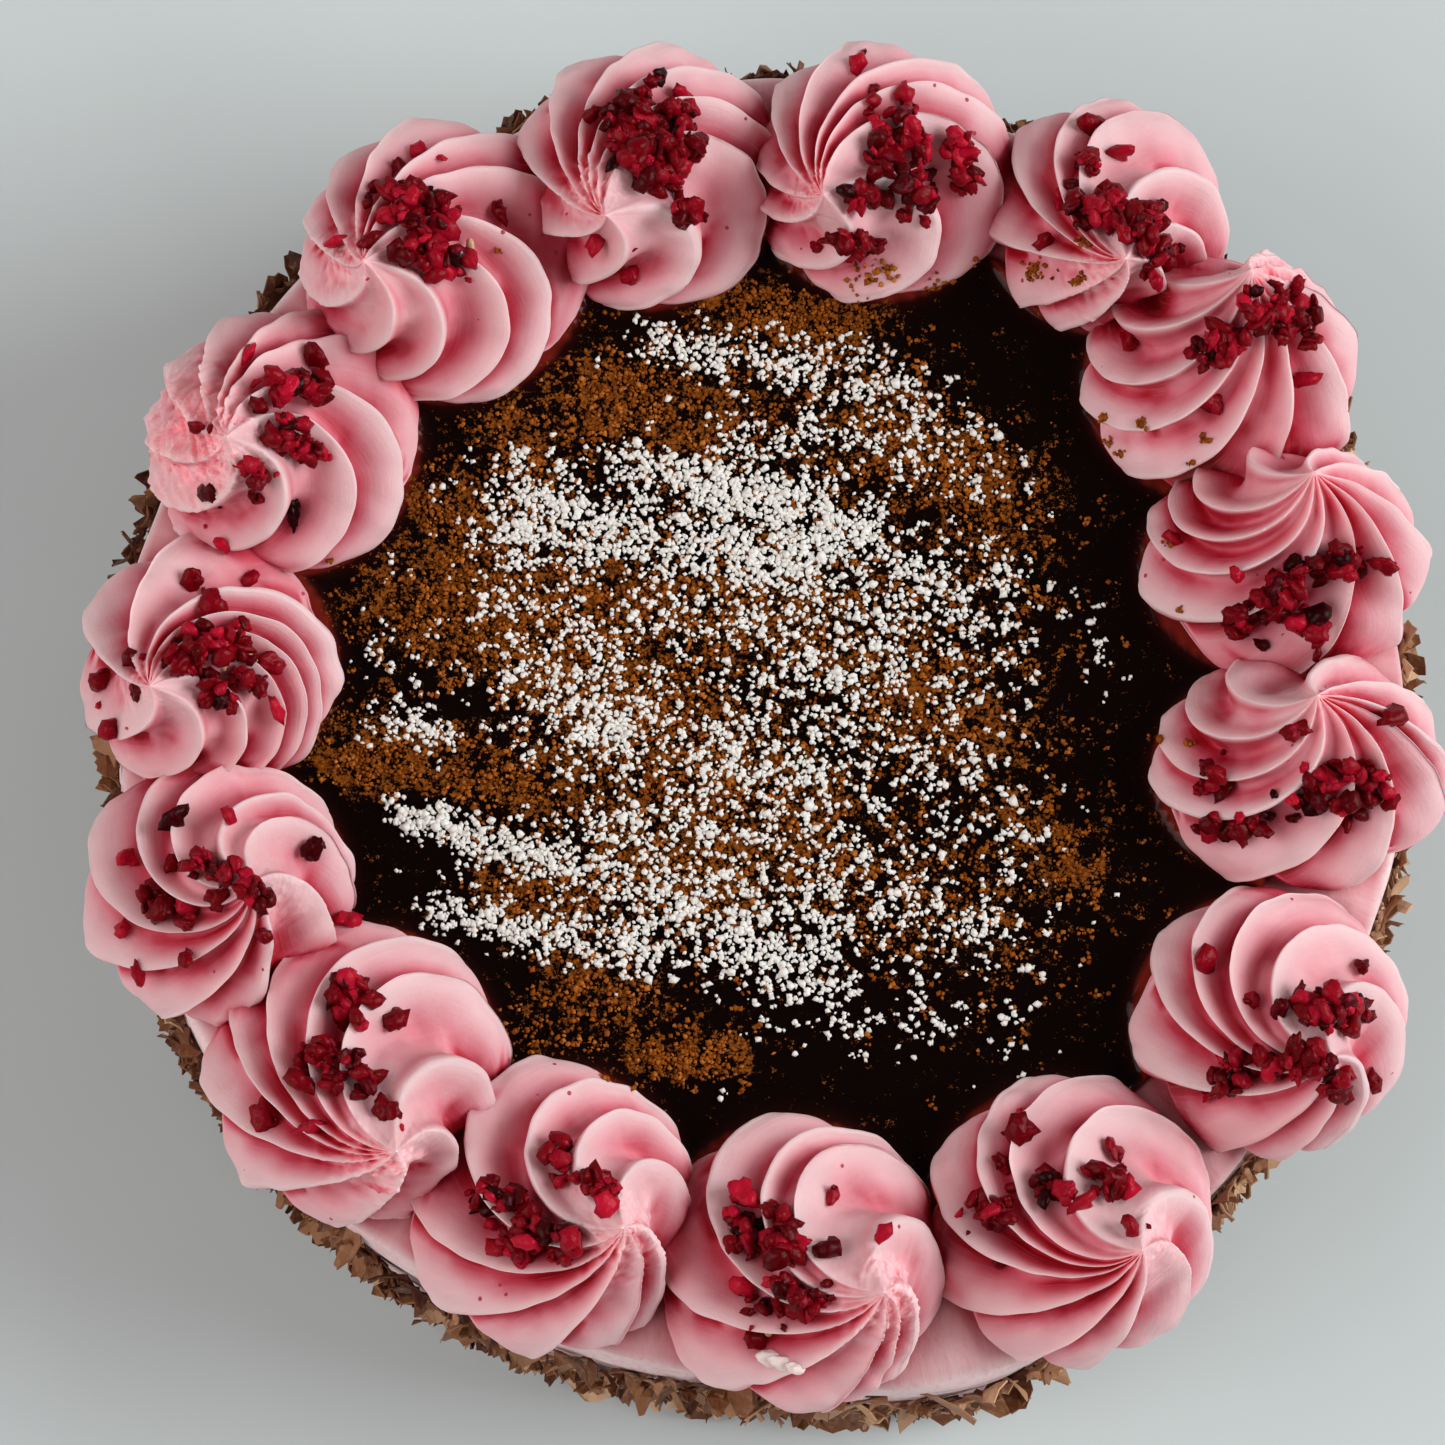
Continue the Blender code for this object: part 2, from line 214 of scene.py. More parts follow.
def layer_value(tree, name):
    """The value of a named layer of the mesh."""
    return add_node(tree, "ShaderNodeAttribute", {"attribute_name": name}).outputs["Fac"]


def colour_steps(tree, factor, steps):
    """A colour ramp from (place, colour) steps."""
    ramp = add_node(tree, "ShaderNodeValToRGB", Fac=factor)
    for i, (place, colour) in enumerate(steps):
        element = ramp.color_ramp.elements[i] if i < 2 else ramp.color_ramp.elements.new(place)
        element.position = place
        element.color = (*colour, 1.0)
    return ramp.outputs["Color"]


def mixed(tree, factor, first, second):
    """Two colours mixed by a factor."""
    node = add_node(tree, "ShaderNodeMix", {"data_type": "RGBA"})
    for i, value in ((0, factor), (6, first), (7, second)):
        plug(tree, node.inputs[i], value)
    return node.outputs[2]


def calculated(tree, operation, *values, clamp=False):
    """A math node."""
    node = add_node(tree, "ShaderNodeMath", {"operation": operation, "use_clamp": clamp})
    for socket, value in zip(node.inputs, values):
        plug(tree, socket, value)
    return node.outputs[0]


def times(tree, value, share):
    """A value times another."""
    return calculated(tree, "MULTIPLY", value, share)


def above(tree, value, level, gain):
    """How far a value is above a level, times a gain."""
    return times(tree, calculated(tree, "SUBTRACT", value, level, clamp=True), gain)


def place_in(tree):
    """Object coordinates, in metres."""
    return add_node(tree, "ShaderNodeTexCoord").outputs["Object"]


def noise(tree, vector, scale, detail=3.0, rough=0.55):
    """A soft noise value."""
    node = add_node(tree, "ShaderNodeTexNoise", Vector=vector, Scale=scale, Detail=detail, Roughness=rough)
    return node.outputs["Fac"]


def bumps(tree, shader, *layers):
    """Bump nodes in a row: (height, distance in millimetres, strength) each."""
    normal = None
    for height, distance, strength in layers:
        node = add_node(tree, "ShaderNodeBump", Height=height, Distance=distance * MM, Strength=strength)
        if normal is not None:
            tree.links.new(normal, node.inputs["Normal"])
        normal = node.outputs["Normal"]
    tree.links.new(normal, shader.inputs["Normal"])


def dress(tree, shader, colour, roughness, specular=None):
    """Give the shader its colour and roughness, and its reflection where that isn't the usual one."""
    plug(tree, shader.inputs["Base Color"], colour)
    plug(tree, shader.inputs["Roughness"], roughness)
    if specular is not None:
        shader.inputs["Specular IOR Level"].default_value = specular

# %% The floor
FLOOR_HALF = 3.0
floor_material, tree, shader = new_material("pale_floor")
mottle = noise(tree, place_in(tree), 9.0)
floor_tone = colour_steps(tree, mottle, ((0.3, (0.545, 0.590, 0.592)), (0.7, (0.575, 0.622, 0.625))))
dress(tree, shader, floor_tone, 0.8, 0.2)
floor_mesh = bpy.data.meshes.new("floor")
floor_corners = [(FLOOR_HALF * x, FLOOR_HALF * y, 0.0) for x, y in ((-1, -1), (1, -1), (1, 1), (-1, 1))]
floor_mesh.from_pydata(floor_corners, [], [(0, 1, 2, 3)])
floor_mesh.materials.append(floor_material)
floor = bpy.data.objects.new("floor", floor_mesh)
bpy.context.scene.collection.objects.link(floor)

# %% The lights
bpy.context.scene.view_settings.view_transform = "Standard"
world = bpy.data.worlds.new("dim_room")
world.use_nodes = True
sky = world.node_tree
upwards = add_node(sky, "ShaderNodeTexCoord").outputs["Generated"]
aim = add_node(sky, "ShaderNodeSeparateXYZ", Vector=upwards).outputs["Z"]
SKY_STEPS = ((0.0, (0.45, 0.425, 0.425)), (0.55, (0.37, 0.35, 0.35)), (1.0, (0.06, 0.058, 0.056)))
sky.links.new(colour_steps(sky, aim, SKY_STEPS), sky.nodes["Background"].inputs["Color"])
sky.nodes["Background"].inputs["Strength"].default_value = 1.0
bpy.context.scene.world = world
CAKE_MIDDLE = Vector((0.0, 0.0, 0.05))


def soft_window(name, place, size, power, colour):
    """A large square light that faces the cake."""
    data = bpy.data.lights.new(name, "AREA")
    data.shape = "SQUARE"
    data.size = size
    data.energy = power
    data.color = colour
    light = bpy.data.objects.new(name, data)
    light.location = place
    light.rotation_euler = (CAKE_MIDDLE - Vector(place)).to_track_quat("-Z", "Y").to_euler()
    bpy.context.scene.collection.objects.link(light)
    print(name, "watts", power, "metres across", size)


soft_window("window", (1.6, 0.15, 1.2), 1.2, 40.0, (0.955, 1.0, 1.0))
soft_window("fill", (-1.42, -0.35, 1.4), 1.6, 23.5, (1.0, 0.955, 0.94))

# %% [markdown]
# ## The measures of the rosettes
# A rosette is piped from a star nozzle that is turned as it is lifted, so its ridges start together
# at a tip and curl outwards. The numbers are the same ones the solids were made from: the middle and
# half widths of each rosette, where its tip lies, the angles of its ridges, and which neighbours lie
# over its edge.

# %% Where each rosette stands
ROSETTE_BASE = 67.3
ROSETTE_HEIGHT = 24.0
ROSETTES = (
    ((-18.6, 86.9), (21.4, 21.4), (-7.1, -11.5), (15, 54, 83, 114, 146, 174, 210, 250, 300), (15,)),
    ((18.6, 88.0), (21.0, 21.0), (-10.1, -9.1), (25, 60, 84, 124, 153, 182, 204, 244, 308), (1,)),
    ((54.9, 80.6), (19.4, 19.0), (1.2, -11.7), (30, 98, 125, 157, 196, 236, 259, 300, 341), (2, 4)),
    ((73.3, 54.4), (22.1, 20.2), (2.5, 13.0), (25, 50, 66, 130, 165, 200, 230, 262, 297, 342), ()),
    ((83.0, 24.5), (22.7, 18.9), (2.3, 10.6), (12, 45, 69, 110, 150, 175, 202, 238, 296, 336), (4,)),
    ((85.3, -9.0), (23.5, 18.9), (0.1, 8.8), (10, 42, 75, 134, 165, 198, 226, 278, 316, 355), (5,)),
    ((79.7, -49.0), (21.6, 21.2), (7.3, -7.8), (15, 72, 118, 150, 178, 215, 260, 286, 312), (6,)),
    ((47.8, -80.6), (22.6, 22.6), (9.6, -6.2), (8, 82, 132, 159, 192, 230, 262, 285, 330), (7,)),
    ((4.6, -87.4), (23.0, 23.0), (13.0, -5.9), (20, 89, 112, 155, 204, 248, 292, 310, 328), (8,)),
    ((-34.1, -78.7), (22.8, 23.0), (11.6, -4.7), (20, 60, 97, 150, 202, 240, 275, 309, 325), (9,)),
    ((-64.5, -57.4), (23.7, 23.7), (6.9, -14.4), (5, 72, 108, 144, 172, 202, 235, 275, 320), (10,)),
    ((-86.9, -28.6), (21.3, 21.3), (6.8, -1.5), (37, 60, 105, 143, 195, 232, 265, 290, 345), (11,)),
    ((-88.5, 7.7), (20.6, 20.6), (-7.8, -7.3), (20, 45, 116, 164, 225, 268, 300, 333, 358), (12,)),
    ((-76.6, 43.4), (21.6, 21.6), (-8.2, -3.5), (12, 68, 95, 129, 156, 190, 224, 265, 322), (13,)),
    ((-51.0, 73.0), (23.0, 23.0), (-12.7, -5.1), (51, 82, 118, 147, 172, 205, 238, 270, 315, 352), (14,)),
)

# Part of the half width, part of the height and turn of the ridges in degrees, from the tip to the foot.
SWIRL_PROFILE = (
    (0.00, 1.085, 120.0),
    (0.10, 0.985, 105.0),
    (0.25, 0.90, 85.0),
    (0.45, 0.78, 53.0),
    (0.65, 0.63, 19.0),
    (0.82, 0.45, -15.0),
    (0.94, 0.26, -50.0),
    (1.00, 0.10, -75.0),
    (0.97, 0.00, -85.0),
)

# %% [markdown]
# ## The shape of a ridge
# Across a ridge the cream falls steeply on one side and slopes gently on the other, like a petal that
# lies over the next one. The crest also leans over its steep side. A mesh grid that follows the
# ridges keeps each crest a clean line: its columns run from the tip to the foot along the ridges, and
# its rows go around. Where a neighbour was piped later, the swirl is pulled back behind it, so the
# two touch without cutting each other.

# %% Across a ridge
COLUMNS_PER_RIDGE = 24
ROWS = 120
VALLEY_DEPTH = 5.6
LOBE_VALLEY = 0.34
CREST_LEAN = 0.10
BEAD = 0.34
WIDER = 0.6
STEEP_SIDE = 0.16
GENTLE_SIDE = 0.27


def valley_shape(f, rounded, outer):
    """Depth across a ridge, from 0 on a crest to about 1 in a valley; f runs from one crest to the next.

    High on a swirl a narrow crest stands over a wide channel; near its foot the ridges are round lobes.
    """
    after = STEEP_SIDE + 0.06 * rounded
    before = GENTLE_SIDE - 0.03 * rounded
    crest = np.exp(-((f / after) ** 2)) + np.exp(-(((1.0 - f) / before) ** 2))
    channel = 1.0 - np.minimum(crest, 1.0)
    g = np.where(f < LOBE_VALLEY, f / LOBE_VALLEY, 1.0 + (f - LOBE_VALLEY) / (1.0 - LOBE_VALLEY))
    lobe = 1.0 - np.abs(np.cos(0.5 * np.pi * g)) ** 0.9
    return channel + (lobe - channel) * outer

# %% Where a neighbour lies over the edge
BITE_GAP = -1.3
BITE_START = 0.9


def outline_at(number, height):
    """Middle and half widths of a rosette's outline at heights above its base."""
    middle, widths, tip = ROSETTES[number - 1][:3]
    knots = np.asarray(SWIRL_PROFILE[1:-1])
    part = np.interp(height, knots[::-1, 1] * ROSETTE_HEIGHT, knots[::-1, 0])
    away = 1.0 - part
    return middle[0] + tip[0] * away, middle[1] + tip[1] * away, widths[0] * part, widths[1] * part


def bitten(number, x, y, height):
    """Pull points of one rosette back behind the rosettes that lie over its edge."""
    middle = ROSETTES[number - 1][0]
    dx = x - middle[0]
    dy = y - middle[1]
    reach = np.hypot(dx, dy) + 1e-9
    ux = dx / reach
    uy = dy / reach
    for other in ROSETTES[number - 1][4]:
        cx, cy, rx, ry = outline_at(other, height)
        ax = rx + BITE_GAP
        ay = ry + BITE_GAP
        px = (middle[0] - cx) / ax
        py = (middle[1] - cy) / ay
        vx = ux / ax
        vy = uy / ay
        a = vx**2 + vy**2
        b = px * vx + py * vy
        inside = b * b - a * (px**2 + py**2 - 1.0)
        meets = (inside > 0.0) & (b < 0.0)
        limit = np.where(meets, (-b - np.sqrt(np.maximum(inside, 0.0))) / a, 1e6)
        start = BITE_START * limit
        pressed = start + (limit - start) * np.tanh((reach - start) / (limit - start))
        reach = np.where(reach > start, pressed, reach)
    return middle[0] + ux * reach, middle[1] + uy * reach

# %% [markdown]
# ## Torn and swaying cream
# Buttercream is not smooth everywhere. Where the nozzle was pulled away it tears into short fibres,
# and every ridge sways a little. A bump in the material would leave the outline smooth, so here the
# points themselves move. Each tear is a soft spot with a place, a size and a strength, set where the
# picture shows it.

# %% Places where the cream is torn
# Each row: rosette, place in the picture, size in millimetres and strength.
TORN = (
    (14, 182, 410, 6.5, 1.1),
    (14, 205, 460, 5.0, 0.9),
    (9, 868, 1305, 5.0, 0.5),
    (9, 895, 1280, 3.5, 0.4),
    (11, 385, 1165, 5.5, 0.6),
    (8, 1150, 1235, 4.5, 0.4),
    (10, 625, 1225, 5.0, 0.5),
    (10, 600, 1240, 4.0, 0.4),
    (4, 1262, 262, 4.0, 0.6),
    (15, 338, 262, 4.0, 0.6),
    (1, 590, 190, 4.0, 0.7),
    (2, 812, 195, 3.0, 0.5),
    (3, 1090, 275, 3.5, 0.5),
    (12, 285, 905, 4.0, 0.3),
    (13, 130, 690, 4.0, 0.4),
)
TORN_HEIGHT = 84.0


def torn_places(number, x, y, place, part):
    """How torn the cream is at points of a swirl, from 0 to about 1."""
    torn = 0.15 * np.clip(1.6 * (drift(place, 9.0, 80 + number) - 0.35), 0.0, 1.0)
    torn = torn * np.clip(1.3 - 1.4 * part, 0.1, 1.0)
    for which, tx, ty, size, strength in TORN:
        if which == number:
            centre = on_plane(tx, ty, TORN_HEIGHT)
            near = ((x - centre.x) ** 2 + (y - centre.y) ** 2) / size**2
            torn = torn + strength * np.exp(-0.5 * near) * (1.0 + 0.5 * drift(place, 3.0, 81 + number))
    return np.clip(torn, 0.0, 1.3)

# %% Columns that follow the ridges
# How far the ridges of a rosette turn, where it is not the usual amount.
USUAL_TWIST = 0.88
TWISTS = {4: 0.55, 5: 0.66, 6: 0.62, 3: 0.75}
USUAL_SPAN = 38.0


def ridge_columns(number, draw):
    """For each column: its angle, its place across a ridge, and its ridge's span and fullness."""
    crests = ROSETTES[number - 1][3]
    u = np.linspace(0.0, 1.0, COLUMNS_PER_RIDGE, endpoint=False)
    f = u - 0.075 * np.sin(2.0 * np.pi * u)
    spans = np.array([(crests[(k + 1) % len(crests)] - crest) % 360 for k, crest in enumerate(crests)])
    angle = np.concatenate([c + s * f for c, s in zip(crests, spans)])
    fullness = np.repeat(np.clip((spans / USUAL_SPAN) ** 0.5, 0.7, 1.25), len(f))
    fullness *= np.repeat(draw.uniform(0.85, 1.12, len(crests)), len(f))
    fullness = 0.5 * fullness + 0.25 * (np.roll(fullness, 2) + np.roll(fullness, -2))
    return angle, np.tile(f, len(crests)), np.repeat(spans, len(f)), fullness


def ridge_bends(draw, ridges, t, fraction):
    """Small bends of each ridge in degrees, which die out towards the foot."""
    strength = draw.normal(0.0, 2.6, (ridges, 1))
    waves = draw.uniform(0.8, 1.9, (ridges, 1))
    start = draw.uniform(0.0, 2.0, (ridges, 1))
    bends = strength * np.sin(np.pi * (t[None, :] * waves + start))
    own = np.repeat(bends, COLUMNS_PER_RIDGE, axis=0).T
    next_one = np.repeat(np.roll(bends, -1, axis=0), COLUMNS_PER_RIDGE, axis=0).T
    return (own + (next_one - own) * fraction[None, :]) * np.clip(1.0 - t[:, None], 0.0, 0.7)

# %% How far each point lies behind the smooth outline
WAVES = 0.28
BEAD_WIDTH = 0.045
TEAR_DEPTH = 0.70
NOZZLE_LINES = 0.035


def rough_cream(number, seen, part, t, width, place):
    """Fibres and crumbs of torn cream, in millimetres."""
    fibres = np.stack([seen * part * width, 0.0 * seen, t[:, None] * 9.0 + 0.0 * seen], -1)
    crumble = 1.5 * (0.5 - np.abs(drift(fibres, 2.4, 90 + number))) + 0.5 * drift(fibres, 1.3, 95 + number)
    return crumble + 0.14 * drift(place, 1.8, 93 + number)


def ridge_relief(number, t, part, seen, fraction, depth, amount, place, torn):
    """How far each point lies behind the outline: valleys, waves, a bead along each crest, and tears."""
    whole = 1.0 - np.minimum(torn, 1.0)
    inward = depth * amount * (1.0 - 0.45 * np.minimum(torn, 1.0))
    inward = inward + WAVES * drift(place, 7.0, 60 + number) * np.minimum(1.0, 2.0 * part)
    from_crest = np.minimum(fraction, 1.0 - fraction)[None, :]
    bead = np.exp(-((from_crest / BEAD_WIDTH) ** 2)) * np.clip(amount / 3.0, 0.0, 1.0)
    inward = inward - BEAD * bead * np.clip(4.0 * (part - 0.12), 0.0, 1.0) * whole
    crumble = rough_cream(number, seen, part, t, ROSETTES[number - 1][1][0], place)
    inward = inward + TEAR_DEPTH * torn * (crumble + 0.1) * np.clip(4.0 * part, 0.0, 1.0)
    nozzle_lines = np.stack([seen * 30.0, 0.0 * seen, 2.0 * part + 0.0 * seen], -1)
    return inward + NOZZLE_LINES * drift(nozzle_lines, 4.0, 97 + number)

# %% The values that the cream's material reads
def swirl_layers(t, fraction, inward, amount, torn):
    """Layers of one swirl, with values for the tip and the foot at their ends; one is painted shade in the
    channels and under each crest, another a painted highlight along each crest.
    """
    across = fraction[None, :]
    # Painted shade: the cream is painted redder down in each channel and in a narrow crease under each
    # crest.
    broad = np.clip(inward / 4.4, 0.0, 1.2)
    crease = np.exp(-(((across - 0.15) / 0.09) ** 2)) * np.clip(amount / 3.0, 0.0, 1.2)
    # Painted highlight: a paler line along each crest.
    lip = np.exp(-((across / 0.045) ** 2)) + np.exp(-(((1.0 - across) / 0.09) ** 2))
    phase = np.arange(len(fraction)) / COLUMNS_PER_RIDGE
    return {
        "groove_shade": np.append((0.42 * broad + 0.56 * crease).ravel(), (0.0, 1.0)),
        "lip": np.append((lip * np.clip(amount / 2.5, 0.0, 1.0)).ravel(), (0.5, 0.0)),
        "phase": np.append(np.tile(phase, ROWS), (0.0, 0.0)),
        "down": np.append(np.repeat(t, len(fraction)), (0.0, 1.0)),
        "torn": np.append(torn.ravel(), (1.0, 0.0)),
    }

# %% Shape one swirl
VALLEY_SHARE = 0.33
SWAY_DEGREES = 3.0
FIRST_RIDGE_SEED = 1000


def pipe_swirl(number):
    """Points, faces and layers of one swirl."""
    middle, widths, tip, crests, _ = ROSETTES[number - 1]
    draw = np.random.default_rng(FIRST_RIDGE_SEED + number)
    plain, fraction, span, fullness = ridge_columns(number, draw)
    tip_angle = math.degrees(math.atan2(tip[1], tip[0]))
    around = 0.6 - 0.4 * np.cos(np.radians(plain - tip_angle + 45.0))[None, :]

    t = np.linspace(0.0, 1.0, ROWS + 1)[1:] ** 0.9
    part, up, turn = smooth_line(SWIRL_PROFILE, t).T[:, :, None]
    run = np.gradient(part[:, 0], t)[:, None] * widths[0]
    fall = -np.gradient(up[:, 0], t)[:, None] * ROSETTE_HEIGHT
    slope = np.hypot(run, fall)

    near_foot = np.clip((part - 0.5) / 0.4, 0.0, 1.0)
    rope_like = np.clip((around - 0.26) / 0.3, 0.0, 1.0) * (1.0 - 0.75 * near_foot)
    depth = valley_shape(fraction[None, :], rope_like, np.clip((part - 0.70) / 0.25, 0.0, 1.0))
    lean = CREST_LEAN * (1.0 - 0.6 * rope_like) * (1.0 - depth) ** 2
    angle = plain[None, :] + span[None, :] * lean + ridge_bends(draw, len(crests), t, fraction)
    waves = t[:, None] * draw.uniform(0.9, 1.6) + draw.uniform(0.0, 1.0)
    sway = SWAY_DEGREES * np.sin(2.0 * np.pi * waves)
    twist = around * TWISTS.get(number, USUAL_TWIST) * turn
    seen = np.radians(angle + twist + sway * (1.0 - t[:, None]))
    centre_x = middle[0] + tip[0] * (1.0 - np.minimum(part, 1.0))
    centre_y = middle[1] + tip[1] * (1.0 - np.minimum(part, 1.0))
    x = centre_x + widths[0] * part * np.cos(seen)
    y = centre_y + widths[1] * part * np.sin(seen)
    place = np.stack([x, y, up * ROSETTE_HEIGHT + 0.0 * x], axis=-1)

    amount = np.minimum(VALLEY_DEPTH, VALLEY_SHARE * part * widths[0]) * fullness[None, :]
    amount = amount * (1.0 - 0.5 * np.clip((t[:, None] - 0.6) / 0.32, 0.0, 1.0))
    amount = amount * (1.0 + 0.14 * drift(place, 13.0, 40 + number))
    torn = torn_places(number, x, y, place, part)
    inward = ridge_relief(number, t, part, seen, fraction, depth, amount, place, torn)

    x = centre_x + ((widths[0] + WIDER) * part - inward * fall / slope) * np.cos(seen)
    y = centre_y + ((widths[1] + WIDER) * part - inward * fall / slope) * np.sin(seen)
    height = np.maximum(up * ROSETTE_HEIGHT - inward * run / slope, 0.0)
    height[-1] = 0.0
    x, y = bitten(number, x, y, height)
    body = np.stack([x, y, ROSETTE_BASE + height], axis=-1).reshape(-1, 3)
    top = (middle[0] + tip[0], middle[1] + tip[1], ROSETTE_BASE + SWIRL_PROFILE[0][1] * ROSETTE_HEIGHT)
    count = len(plain)
    cap = fan(0, count, len(body))
    base = fan(len(body) - count, count, len(body) + 1, flip=True)
    points = np.vstack([body, top, (*middle, ROSETTE_BASE)])
    return points, (ring_faces(ROWS, count), cap, base), swirl_layers(t, fraction, inward, amount, torn)

# %% [markdown]
# ## Cream
# Buttercream is soft and satin, and light goes a little way into it, so its edges glow. Subsurface
# scattering gives the glow. Its hollows are painted a deep red: painted shade, for the shade there and
# for light thrown from wall to wall, which comes back redder each time. Two layers of the mesh carry
# that painted shade: one knows the valleys between ridges, and the other, which the next step
# measures, knows how deep in a hollow each place lies. A paler line along each crest is a painted
# highlight. Fine lines along the ridges and a few pores and specks are left by the nozzle and the
# fruit.

# %% The cream material
# How much the painted shade of hollows and valleys counts towards the colour.
HOLLOW_SHADE_SHARE = 1.12
GROOVE_SHADE_SHARE = 0.38
# The cream's colour, from open cream to the deep red of painted shade in hollows and valleys.
CREAM_AND_SHADE_STEPS = (
    (0.0, (0.76, 0.47, 0.49)),
    (0.18, (0.74, 0.37, 0.40)),
    (0.40, (0.68, 0.22, 0.265)),
    (0.62, (0.56, 0.07, 0.11)),
    (0.82, (0.42, 0.008, 0.026)),
    (1.0, (0.30, 0.001, 0.006)),
)
cream, tree, shader = new_material("raspberry_cream")
where = place_in(tree)
cloud = times(tree, calculated(tree, "SUBTRACT", noise(tree, where, 95.0), 0.5), 0.35)
# Painted shade: the deeper a place lies in a hollow or a valley, the redder and darker its colour.
hollow_shade = times(tree, layer_value(tree, "hollow_shade"), HOLLOW_SHADE_SHARE)
groove_shade = times(tree, layer_value(tree, "groove_shade"), GROOVE_SHADE_SHARE)
deep = calculated(tree, "ADD", calculated(tree, "ADD", groove_shade, hollow_shade), cloud)
pink = colour_steps(tree, deep, CREAM_AND_SHADE_STEPS)
# Painted highlight: the cream is painted paler along each crest.
pink = mixed(tree, times(tree, layer_value(tree, "lip"), 0.6), pink, (0.77, 0.58, 0.585))
streaks = add_node(
    tree,
    "ShaderNodeCombineXYZ",
    X=times(tree, layer_value(tree, "phase"), 9.0),
    Y=times(tree, layer_value(tree, "down"), 1.6),
    Z=times(tree, layer_value(tree, "torn"), 0.3),
).outputs[0]
ridge_lines = noise(tree, streaks, 3.0, 4.0, 0.6)
pink = mixed(tree, above(tree, ridge_lines, 0.52, 0.9), pink, (0.80, 0.36, 0.38))
speck_cells = add_node(tree, "ShaderNodeTexVoronoi", Vector=where, Scale=230.0, Randomness=1.0)
speck = calculated(tree, "LESS_THAN", speck_cells.outputs["Distance"], 0.085)
few = calculated(tree, "GREATER_THAN", noise(tree, where, 60.0), 0.56)
pink = mixed(tree, times(tree, speck, few), pink, (0.42, 0.04, 0.07))
dress(tree, shader, pink, 0.5, 0.22)
shader.subsurface_method = "BURLEY"
shader.inputs["Subsurface Weight"].default_value = 0.42
shader.inputs["Subsurface Radius"].default_value = (1.0, 0.32, 0.33)
shader.inputs["Subsurface Scale"].default_value = 0.0028
bumps(tree, shader, (ridge_lines, 0.25, 0.35), (noise(tree, where, 1300.0, 3.0, 0.6), 0.14, 0.5))

# %% [markdown]
# ## How deep in a hollow each place of the cream lies, for the painted shade
# The cream's colour uses this value as painted shade: the deeper a place lies among other cream, the
# redder and darker it is painted. A renderer could find hollows while it draws, but then the colour
# would not stay with the mesh. So the script looks out from every third point of a swirl in 44
# directions and notes how near other cream is. A point in the open gets 0, one deep in a channel
# almost 1, and the points between are filled in smoothly.

# %% Look out from the cream
SAMPLE_STEP = 3
HOLLOW_REACH = 13.0
LOOKS = 44
LOWEST_LOOK = 0.3
GOLDEN_TURN = 2.39996
OFF_SURFACE = 0.35
LEAST_WEIGHT = 0.08
CAKE_TOP = ((-99.0, -99.0, 66.0), (99.0, -99.0, 66.0), (99.0, 99.0, 66.0), (-99.0, 99.0, 66.0))


def cream_around(shapes):
    """Every swirl, coarsely, with the cake's top under them, ready for rays."""
    all_points = []
    all_faces = []
    count = 0
    for points, _, _ in shapes:
        grid = points[:-2].reshape(ROWS, -1, 3)[::2, ::2]
        all_faces += (ring_faces(*grid.shape[:2]) + count).tolist()
        all_points += grid.reshape(-1, 3).tolist()
        count = len(all_points)
    all_faces.append([count, count + 1, count + 2, count + 3])
    return BVHTree.FromPolygons(all_points + list(CAKE_TOP), all_faces)


def look_directions():
    """Directions spread evenly from straight up to a little below the horizon."""
    n = np.arange(LOOKS) + 0.5
    z = 1.0 - (1.0 + LOWEST_LOOK) * n / LOOKS
    flat = np.sqrt(1.0 - z**2)
    return np.stack([flat * np.cos(GOLDEN_TURN * n), flat * np.sin(GOLDEN_TURN * n), z], axis=-1)


def outward_normals(grid):
    """The way each point of a closed grid faces."""
    across = np.roll(grid, -1, axis=1) - np.roll(grid, 1, axis=1)
    normal = np.cross(across, np.gradient(grid, axis=0))
    normal /= np.linalg.norm(normal, axis=-1, keepdims=True) + 1e-9
    outwards = (normal * (grid - grid.mean(axis=(0, 1)))).sum() > 0.0
    return normal if outwards else -normal


def fill_between(values, step, count):
    """Values at every few columns and rows of a swirl's grid, spread smoothly over all of it."""
    rows = np.arange(ROWS)
    tall = np.stack([np.interp(rows, rows[::step], column) for column in values.T], axis=-1)
    closed = np.hstack([tall, tall[:, :1]])
    known = np.append(np.arange(count)[::step], count)
    return np.stack([np.interp(np.arange(count), known, row) for row in closed])


def hollow_layers(shapes):
    """For each swirl, how much of the space above each point is filled by cream nearby, from 0 to 1; the
    cream's colour uses it as painted shade.
    """
    cream_tree = cream_around(shapes)
    looks = look_directions()
    ways = [Vector(look) for look in looks]
    hollows = []
    for points, _, _ in shapes:
        grid = points[:-2].reshape(ROWS, -1, 3)
        places = grid[::SAMPLE_STEP, ::SAMPLE_STEP]
        facing = outward_normals(grid)[::SAMPLE_STEP, ::SAMPLE_STEP]
        weights = np.maximum(facing.reshape(-1, 3) @ looks.T, 0.0)
        filled = np.zeros(len(weights))
        for k, origin in enumerate((places + OFF_SURFACE * facing).reshape(-1, 3).tolist()):
            for j in np.flatnonzero(weights[k] > LEAST_WEIGHT):
                distance = cream_tree.ray_cast(origin, ways[j], HOLLOW_REACH)[3]
                if distance is not None:
                    filled[k] += weights[k, j] * (1.0 - (distance / HOLLOW_REACH) ** 2)
        share = filled / (weights.sum(axis=1) + 1e-9)
        hollows.append(fill_between(share.reshape(places.shape[:2]), SAMPLE_STEP, grid.shape[1]))
    return hollows

